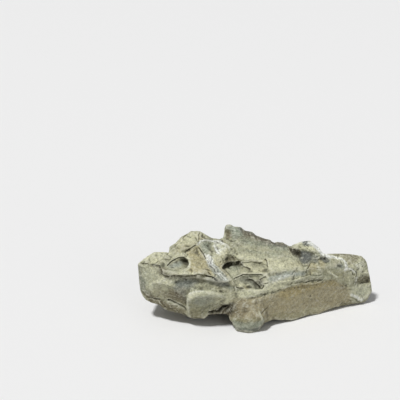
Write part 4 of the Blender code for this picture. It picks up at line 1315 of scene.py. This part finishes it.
def thin_out(obj):
    obj.data.calc_loop_triangles()
    modifier = obj.modifiers.new("thin", "DECIMATE")
    modifier.ratio = min(1.0, TRIANGLES / len(obj.data.loop_triangles))
    modifier.use_collapse_triangulate = True
    bake(obj)


# ---- node helpers

def add_node(tree, kind, inputs=None, **settings):
    """A new node: each input is joined to the socket it is given or holds the value."""
    made = tree.nodes.new(kind)
    for key, value in settings.items():
        setattr(made, key, value)
    for key, value in (inputs or {}).items():
        if isinstance(value, bpy.types.NodeSocket):
            tree.links.new(value, made.inputs[key])
        else:
            made.inputs[key].default_value = value
    return made


def calc(tree, operation, *values, kind="ShaderNodeMath"):
    return add_node(tree, kind, dict(enumerate(values)), operation=operation).outputs[0]


def vector_calc(tree, operation, *values):
    return calc(tree, operation, *values, kind="ShaderNodeVectorMath")


def product(tree, first, *others):
    for value in others:
        first = calc(tree, "MULTIPLY", first, value)
    return first


def turned_back(tree, vector, angles):
    return add_node(tree, "ShaderNodeVectorRotate", {"Vector": vector, "Rotation": angles},
                    rotation_type="EULER_XYZ", invert=True).outputs[0]


def noise(tree, vector, scale, detail, roughness=0.5, **more):
    """Soft noise: its value and its colour."""
    inputs = {"Vector": vector, "Scale": scale, "Detail": detail, "Roughness": roughness, **more}
    dimensions = "4D" if "W" in more else "3D"
    return add_node(tree, "ShaderNodeTexNoise", inputs, noise_dimensions=dimensions).outputs


def ramp_between(tree, value, low, high, to_low=0.0, to_high=1.0):
    made = add_node(tree, "ShaderNodeMapRange",
                    {"Value": value, "From Min": low, "From Max": high,
                     "To Min": to_low, "To Max": to_high}, interpolation_type="SMOOTHSTEP")
    return made.outputs["Result"]


def blend(tree, share, under, over, kind="MIX"):
    """One colour laid over another; each is a socket or three numbers."""
    under, over = ((*shade, 1) if isinstance(shade, tuple) else shade for shade in (under, over))
    made = add_node(tree, "ShaderNodeMix", {0: share, 6: under, 7: over}, data_type="RGBA",
                    blend_type=kind)
    return made.outputs[2]


# Sizes of the weathering, in metres
WEATHER = {
    "Bed Thickness": 0.0058, "Bed Relief": 0.0009, "Flake Size": 0.0085, "Flake Relief": 0.0008,
    "Lump Size": 0.0130, "Lump Relief": 0.0010, "Pit Size": 0.0052, "Pit Depth": 0.0005,
    "Grain Size": 0.0034, "Grain Relief": 0.0005,
}


# How the beds waver, how flat they are, and the curve in which each falls away
WAVER = (0.008, 0.008, 0.012)
WAVER_SIZE = 0.024
FLATTENED = (0.45, 0.45, 1.0)
BED_CURVE = 1.6

# Where beds, flakes and pits show: the size and detail of the patches, and their levels
PATCHES = {
    "beds": (0.016, 2.0, 0.42, 0.66), "flakes": (0.02, 2.0, 0.45, 0.6), "pits": (0.012, 1.0, 0.54, 0.64),
}
PIT_EDGE = (0.18, 0.42)

# How much of the grain smooth skin misses
CALM_GRAIN = -0.45


def weathering_tree():
    """Beds, flakes, lumps, pits and grain, all pushed out along the surface."""
    tree = bpy.data.node_groups.new("weathering", "GeometryNodeTree")
    face = tree.interface
    face.new_socket("Geometry", in_out="INPUT", socket_type="NodeSocketGeometry")
    for name, value in WEATHER.items():
        socket = face.new_socket(name, in_out="INPUT", socket_type="NodeSocketFloat")
        socket.default_value = value
    face.new_socket("Seed", in_out="INPUT", socket_type="NodeSocketFloat")
    face.new_socket("Material", in_out="INPUT", socket_type="NodeSocketMaterial")
    face.new_socket("Geometry", in_out="OUTPUT", socket_type="NodeSocketGeometry")
    given = tree.nodes.new("NodeGroupInput").outputs
    place = tree.nodes.new("GeometryNodeInputPosition").outputs[0]
    normal = tree.nodes.new("GeometryNodeInputNormal").outputs[0]

    def noise_of(vector, size, detail, roughness=0.5):
        scale = calc(tree, "DIVIDE", 1.0, size)
        return noise(tree, vector, scale, detail, roughness, W=given["Seed"])

    def patches_of(vector, part):
        size, detail, low, high = PATCHES[part]
        return ramp_between(tree, noise_of(vector, size, detail)[0], low, high)

    def cells_of(vector, size):
        scale = calc(tree, "DIVIDE", 1.0, size)
        inputs = {"Vector": vector, "W": given["Seed"], "Scale": scale, "Randomness": 1.0}
        return add_node(tree, "ShaderNodeTexVoronoi", inputs, voronoi_dimensions="4D").outputs

    def around_zero(value):
        return calc(tree, "MULTIPLY_ADD", value, 2.0, -1.0)

    def parts_of(vector):
        return add_node(tree, "ShaderNodeSeparateXYZ", {"Vector": vector}).outputs

    bent = turned_back(tree, place, BED_TILT)
    drift = vector_calc(tree, "SUBTRACT", noise_of(bent, WAVER_SIZE, 2.0)[1], (0.5, 0.5, 0.5))
    bent = vector_calc(tree, "ADD", bent, vector_calc(tree, "MULTIPLY", drift, WAVER))
    flat = vector_calc(tree, "MULTIPLY", bent, FLATTENED)

    # Beds: each one stands proud at its top and falls away below, more in some places than others
    stack = calc(tree, "DIVIDE", parts_of(bent)[2], given["Bed Thickness"])
    rise = calc(tree, "POWER", calc(tree, "FRACT", stack), BED_CURVE)
    beds = product(tree, rise, patches_of(flat, "beds"), given["Bed Relief"])

    # Flakes: thin plates of the bedding that ended at different depths
    level = parts_of(cells_of(flat, given["Flake Size"])["Color"])[0]
    flakes = product(tree, around_zero(level), given["Flake Relief"], patches_of(bent, "flakes"))

    lumps = product(tree, around_zero(noise_of(flat, given["Lump Size"], 3.0, 0.55)[0]),
                    given["Lump Relief"])

    # Pits: small round holes, in a few places only
    away = cells_of(bent, given["Pit Size"])["Distance"]
    hole = ramp_between(tree, away, *PIT_EDGE, 1.0, 0.0)
    pits = product(tree, hole, patches_of(bent, "pits"), given["Pit Depth"], -1.0)

    grain = product(tree, around_zero(noise_of(bent, given["Grain Size"], 4.0, 0.6)[0]),
                    given["Grain Relief"])

    total = beds
    for part in (flakes, lumps, pits):
        total = calc(tree, "ADD", total, part)
    calm = add_node(tree, "GeometryNodeInputNamedAttribute", {"Name": "calm"},
                    data_type="FLOAT").outputs[0]
    total = product(tree, total, calc(tree, "SUBTRACT", 1.0, calm))
    grain = product(tree, grain, calc(tree, "MULTIPLY_ADD", calm, CALM_GRAIN, 1.0))
    total = calc(tree, "ADD", total, grain)
    offset = add_node(tree, "ShaderNodeVectorMath", {0: normal, "Scale": total}, operation="SCALE")
    moved = add_node(tree, "GeometryNodeSetPosition", {0: given["Geometry"], "Offset": offset.outputs[0]})
    real = add_node(tree, "GeometryNodeRealizeInstances", {0: moved.outputs[0]})
    shown = add_node(tree, "GeometryNodeSetMaterial", {0: real.outputs[0], "Material": given["Material"]})
    result = tree.nodes.new("NodeGroupOutput")
    tree.links.new(shown.outputs[0], result.inputs[0])
    return tree


def weather(obj, material):
    store(obj.data, "calm", calmness(Surface(obj)))
    modifier = obj.modifiers.new("weathering", "NODES")
    modifier.node_group = weathering_tree()
    sizes = dict(WEATHER, Seed=float(SEED), Material=material)
    for item in modifier.node_group.interface.items_tree:
        if item.in_out == "INPUT" and item.name in sizes:
            modifier[item.identifier] = sizes[item.name]
    bake(obj)


def store(mesh, name, values):
    attribute = mesh.attributes.new(name, "FLOAT", "POINT")
    attribute.data.foreach_set("value", values.astype(np.float32))


def mark_relief(surface, web):
    """Stores where the finished stone stands proud, where it is hollow and what faces down."""
    mesh = surface.obj.data
    smoothed, done = surface.points, 0
    for name, (times, size) in RELIEFS.items():
        smoothed = web.even(smoothed, times - done)
        done = times
        rise = ((surface.points - smoothed) * surface.normals).sum(1)
        store(mesh, name, 0.5 + 0.5 * np.tanh(rise / size))
    # Faces that turn down, later darkened as painted shade on the underside
    store(mesh, "under", web.even(ease((-surface.normals[:, 2] - 0.05) / 0.75), times=6))


def lay_clay(clay, across, down):
    """How much of a clay lies at each point of the front."""
    amount = np.zeros(len(across))
    for _, strength, *width, corners in CLAYS[clay]:
        if width:
            weight = along_stroke(corners, across, down, width[0])
        else:
            weight = within(corners, across, down, SHARP_END if clay in CRISP else SOFT_END)
        amount = np.maximum(amount, weight * strength)
    return amount


def shade_in_cracks(amount, across, down):
    """Adds painted crevice shade along the fine cracks, stronger where they are deep."""
    for half_width, depth, corners in CRACKS.values():
        weight = along_stroke(corners, across, down, half_width * 0.75)
        amount = np.maximum(amount, weight * min(0.85, 0.25 + 0.25 * depth))
    return amount


def mark_clays(surface, web):
    """Stores which clay, with its painted highlights or shade, lies where: as laid on the front, then run on
    and blotted round the back.
    """
    rng = np.random.default_rng(SEED + 1)
    across, down, _ = FRONT.place(surface.points)
    seen = FRONT.seen(surface, STAINED_DEPTH)
    hidden = np.nonzero(~seen)[0]
    for clay in CLAYS:
        threaded = clay in THREADED
        amount = lay_clay(clay, across, down)
        # Painted shade is also laid along every fine crack
        if clay == "crevice_shade":
            amount = shade_in_cracks(amount, across, down)
        amount = web.spread(amount, seen, THREAD_RUN_ON if threaded else RUN_ON)
        for seed in rng.choice(hidden, BLOTS, replace=False):
            size = rng.uniform(*BLOT_SIZES) * (THREAD_SHARE if threaded else 1)
            gap = (surface.points - surface.points[seed]) / (size, size, size * BLOT_HEIGHT)
            blot = ease(1.6 - np.linalg.norm(gap, axis=1)) * rng.uniform(*BLOT_STRENGTHS)
            amount = np.where(seen, amount, np.maximum(amount, blot))
        store(surface.obj.data, "clay_" + clay, web.even(amount, times=2))


def new_group(name, inputs, outputs):
    """An empty shader node group and its two end nodes; an input without a value is a vector."""
    tree = bpy.data.node_groups.new(name, "ShaderNodeTree")
    for label, value in inputs.items():
        kind = "NodeSocketVector" if value is None else "NodeSocketFloat"
        socket = tree.interface.new_socket(label, in_out="INPUT", socket_type=kind)
        if value is not None:
            socket.default_value = value
    for label in outputs:
        tree.interface.new_socket(label, in_out="OUTPUT", socket_type="NodeSocketFloat")
    return tree, tree.nodes.new("NodeGroupInput").outputs, tree.nodes.new("NodeGroupOutput").inputs


def grain_group():
    """Mottling of the clay at three sizes, specks, and thin stains and scratches along its beds."""
    tree, given, result = new_group("stone_grain", {"Vector": None, "Size": 0.012}, GRAINS)
    scale = calc(tree, "DIVIDE", 1.0, given["Size"])
    for name, (angles, stretch, fineness, detail, roughness, low, high) in GRAINS.items():
        vector = vector_calc(tree, "MULTIPLY", turned_back(tree, given["Vector"], angles), stretch)
        value = noise(tree, vector, product(tree, scale, fineness), detail, roughness)[0]
        tree.links.new(ramp_between(tree, value, low, high), result[name])
    return tree


def break_group():
    """A smooth mask broken up along its edge, as a stain soaks into rough clay; painted highlights and shade
    break up the same way.
    """
    tree, given, result = new_group(
        "broken_edge", {"Mask": 0.0, "Vector": None, "Size": 0.004, "Break": 0.8}, ("Mask",))
    loose = noise(tree, given["Vector"], calc(tree, "DIVIDE", 1.0, given["Size"]), 5.0, 0.65)[0]
    pushed = calc(tree, "ADD", given["Mask"],
                  product(tree, calc(tree, "SUBTRACT", loose, 0.5), given["Break"]))
    held = product(tree, ramp_between(tree, pushed, 0.12, 0.62),
                   ramp_between(tree, given["Mask"], 0.0, 0.12))
    top = calc(tree, "ADD", product(tree, given["Mask"], 0.75), 0.25)
    tree.links.new(product(tree, held, top), result["Mask"])
    return tree


def wear_and_shading_group():
    """Where edges are rubbed pale with a painted highlight, where dirt and painted shade lie in small
    hollows, and where broad hollows get painted shade.
    """
    tree, given, result = new_group(
        "wear_and_shading", {"Crisp": 0.5, "Proud": 0.5, "Broad": 0.5, "Vector": None}, ("Rubbed_And_Highlight", "Dirt_And_Shade", "Shade"))
    patchy = ramp_between(tree, noise(tree, given["Vector"], 260.0, 4.0)[0], 0.35, 0.65, 0.35, 1.0)

    def either(crisp, proud):
        return calc(tree, "MAXIMUM", ramp_between(tree, given["Crisp"], *crisp),
                    ramp_between(tree, given["Proud"], *proud))

    tree.links.new(product(tree, either(*RUBBED_AND_HIGHLIGHT_LEVELS), patchy), result["Rubbed_And_Highlight"])
    tree.links.new(either(*DIRT_AND_SHADE_LEVELS), result["Dirt_And_Shade"])
    tree.links.new(ramp_between(tree, given["Broad"], *SHADE_LEVELS), result["Shade"])
    return tree


def clay_stone():
    """Dry clay stone: mottled grey-green, stained by other clays with painted highlights and shade among
    them, pale on its edges from wear and a painted highlight, darker in hollows and below with painted
    shade.
    """
    material = bpy.data.materials.new("clay_stone")
    material.use_nodes = True
    tree = material.node_tree
    shader = tree.nodes["Principled BSDF"]
    shader.inputs["Roughness"].default_value = CLAY_ROUGHNESS
    shader.inputs["Specular IOR Level"].default_value = CLAY_SPECULAR
    place = tree.nodes.new("ShaderNodeTexCoord").outputs["Object"]

    def stored(name):
        return add_node(tree, "ShaderNodeAttribute", attribute_name=name).outputs["Fac"]

    def mask_from(group, inputs):
        return add_node(tree, "ShaderNodeGroup", {**inputs, "Vector": place}, node_tree=group).outputs

    grain = mask_from(grain_group(), {})
    colour = blend(tree, grain["Mottle"], DRY_DARK, DRY_LIGHT)
    colour = blend(tree, product(tree, grain["Bed"], 0.35), colour, DRY_BEDS)

    # Clays laid over the dry clay, some of them also painted highlights or painted shade
    broken = break_group()
    for clay, shade in CLAY_COLOURS.items():
        size, loose = EDGES.get(clay, PLAIN_EDGE)
        laid = {"Mask": stored("clay_" + clay), "Size": size, "Break": loose}
        colour = blend(tree, mask_from(broken, laid)["Mask"], colour, shade)

    # Fine mottling darkens the colour, evened out a little where sand lies
    dark = calc(tree, "MULTIPLY_ADD", grain["Grain"], GRAIN_TONE, TONE_START)
    dark = calc(tree, "MULTIPLY_ADD", grain["Blotch"], BLOTCH_TONE, dark)
    plain = product(tree, stored("clay_sand"), SAND_EVENS)
    dark = calc(tree, "MULTIPLY_ADD", calc(tree, "SUBTRACT", SAND_TONE, dark), plain, dark)
    tone = add_node(tree, "ShaderNodeCombineColor", {0: dark, 1: dark, 2: dark}).outputs[0]
    colour = blend(tree, 1.0, colour, tone, "MULTIPLY")

    wear_and_shading = mask_from(wear_and_shading_group(), {name.capitalize(): stored(name) for name in RELIEFS})
    masks = {name: grain[name] for name in ("Streak", "Scratch", "Speck")}
    masks.update({name: wear_and_shading[name] for name in ("Shade", "Dirt_And_Shade", "Rubbed_And_Highlight")}, Under=stored("under"))
    for name, (share, shade) in FINISHES.items():
        colour = blend(tree, product(tree, masks[name], share), colour, shade)
    tree.links.new(colour, shader.inputs["Base Color"])

    fine = noise(tree, place, *FINE_BUMP)[0]
    rough = noise(tree, place, *ROUGH_BUMP)[0]
    height = calc(tree, "MULTIPLY_ADD", rough, ROUGH_SHARE, fine)
    bump = add_node(tree, "ShaderNodeBump",
                    {"Height": height, "Strength": BUMP_STRENGTH, "Distance": BUMP_DISTANCE})
    tree.links.new(bump.outputs[0], shader.inputs["Normal"])
    return material


def make_camera():
    camera = bpy.data.cameras.new("camera")
    camera.lens = LENS
    camera.sensor_width = SENSOR
    camera.clip_start = 10 * MM
    eye = bpy.data.objects.new("camera", camera)
    bpy.context.scene.collection.objects.link(eye)
    eye.location = Vector(FRONT.eye * MM)
    eye.rotation_euler = Vector(FRONT.forward).to_track_quat("-Z", "Y").to_euler()
    bpy.context.scene.camera = eye


def make_floor():
    mesh = bpy.data.meshes.new("floor")
    bm = bmesh.new()
    bmesh.ops.create_grid(bm, x_segments=1, y_segments=1, size=FLOOR_SIZE)
    bm.to_mesh(mesh)
    bm.free()
    floor = bpy.data.objects.new("floor", mesh)
    bpy.context.scene.collection.objects.link(floor)
    pale = bpy.data.materials.new("pale_floor")
    pale.use_nodes = True
    shader = pale.node_tree.nodes["Principled BSDF"]
    shader.inputs["Base Color"].default_value = FLOOR_PALE
    shader.inputs["Roughness"].default_value = 0.9
    mesh.materials.append(pale)


def add_light(name, place, width, power):
    """A broad even light that comes from the side of the given place."""
    lamp = bpy.data.lights.new(name, "SUN")
    lamp.angle = math.radians(width)
    lamp.energy = power
    obj = bpy.data.objects.new(name, lamp)
    bpy.context.scene.collection.objects.link(obj)
    obj.location = place
    obj.rotation_euler = (-Vector(place)).to_track_quat("-Z", "Y").to_euler()


def make_light():
    """A key, a fill and an even sky that the camera sees brighter than the stone does."""
    scene = bpy.context.scene
    scene.world = bpy.data.worlds.new("studio")
    scene.world.use_nodes = True
    tree = scene.world.node_tree
    sky = tree.nodes["Background"]
    sky.inputs["Color"].default_value = (1, 1, 1, 1)
    seen = tree.nodes.new("ShaderNodeLightPath").outputs["Is Camera Ray"]
    tree.links.new(ramp_between(tree, seen, 0.0, 1.0, SKY_GLOW, SKY_SEEN), sky.inputs["Strength"])
    for name, (place, width, power) in LIGHTS.items():
        add_light(name, place, width, power)
    scene.view_settings.view_transform = "Standard"


def cut_front(surface, rng):
    """Everything that the front shows, but for its finest lines."""
    for rim in HEALED.values():
        heal(surface, FRONT, rim)
    surface.write()
    seen = FRONT.seen(surface)
    for flatness, corners in SPLITS.values():
        split(surface, FRONT, seen, corners, flatness)
    fit_outline(surface, FRONT, OUTLINE)
    surface.write()
    for soft, lean, rim, floor in POCKETS.values():
        press(surface, FRONT, rim, soft, lean, floor)
    surface.write()
    for half_widths, depths, lean, corners in SCOOPS.values():
        scoop(surface, FRONT, corners, half_widths, depths, lean)
    surface.write()
    for stand, drop, widths, corners in LEDGES.values():
        ledge(surface, rng, FRONT, corners, stand, drop, widths)


def cut_round(surface, rng):
    """Broken beds on the sides that the front hides, which fade out where it begins."""
    web = Web(surface.obj.data)
    kept = surface.points.copy()
    hidden = 1 - web.even(FRONT.seen(surface, SHAPED_DEPTH).astype(float), times=8)
    for sight in ROUND:
        bed_lines(surface, rng, sight, HIDDEN_BEDS)
    surface.points = kept + (surface.points - kept) * ease(2 * hidden - 0.5)[:, None]
    surface.points = web.even(surface.points, times=1)
    surface.write()


def cut_lines(surface, rng):
    """The finest lines of the front, and the outline once more."""
    for half_width, height, corners in VEINS.values():
        vein(surface, rng, FRONT, corners, half_width, height)
    surface.write()
    for half_width, depth, corners in CRACKS.values():
        crack(surface, rng, FRONT, corners, half_width, depth)
    hold_back(surface)
    fit_outline(surface, FRONT, OUTLINE, reach=8.0, most=3.0, rows=END_ROWS)
    fit_outline(surface, FRONT, OUTLINE, reach=6.0, most=3.2)
    surface.points[:, 2] = np.maximum(surface.points[:, 2], 0)
    surface.write()


def shape_stone(stone, material):
    """Wears the copy of the solid to the finished stone, from the large shapes to the small."""
    rng = np.random.default_rng(SEED)
    remesh(stone, FIRST_GRAIN, rounding=2)
    surface = Surface(stone)
    cut_front(surface, rng)
    cut_round(surface, rng)
    remesh(stone, FINE_GRAIN)
    surface = Surface(stone)
    for count, reach, share, flatness in CHIPS:
        chip(surface, rng, count, reach, share, flatness)
    surface.write()
    weather(stone, material)
    cut_lines(Surface(stone), rng)
    thin_out(stone)
    surface = Surface(stone)
    for place, reach, rounds in SPURS.values():
        rub_down(surface, place, reach, rounds)
    surface.write()
    for _ in range(2):
        draw_in_fins(surface)
        surface.write()
    web = Web(stone.data)
    mark_relief(surface, web)
    mark_clays(surface, web)


def main():
    make_camera()
    make_light()
    make_floor()
    material = clay_stone()
    stone = fresh_copy(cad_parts["stone"], "dragon_stone")
    shape_stone(stone, material)
    stone.data.materials.clear()
    stone.data.materials.append(material)
    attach(stone, "root")
    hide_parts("stone")


main()
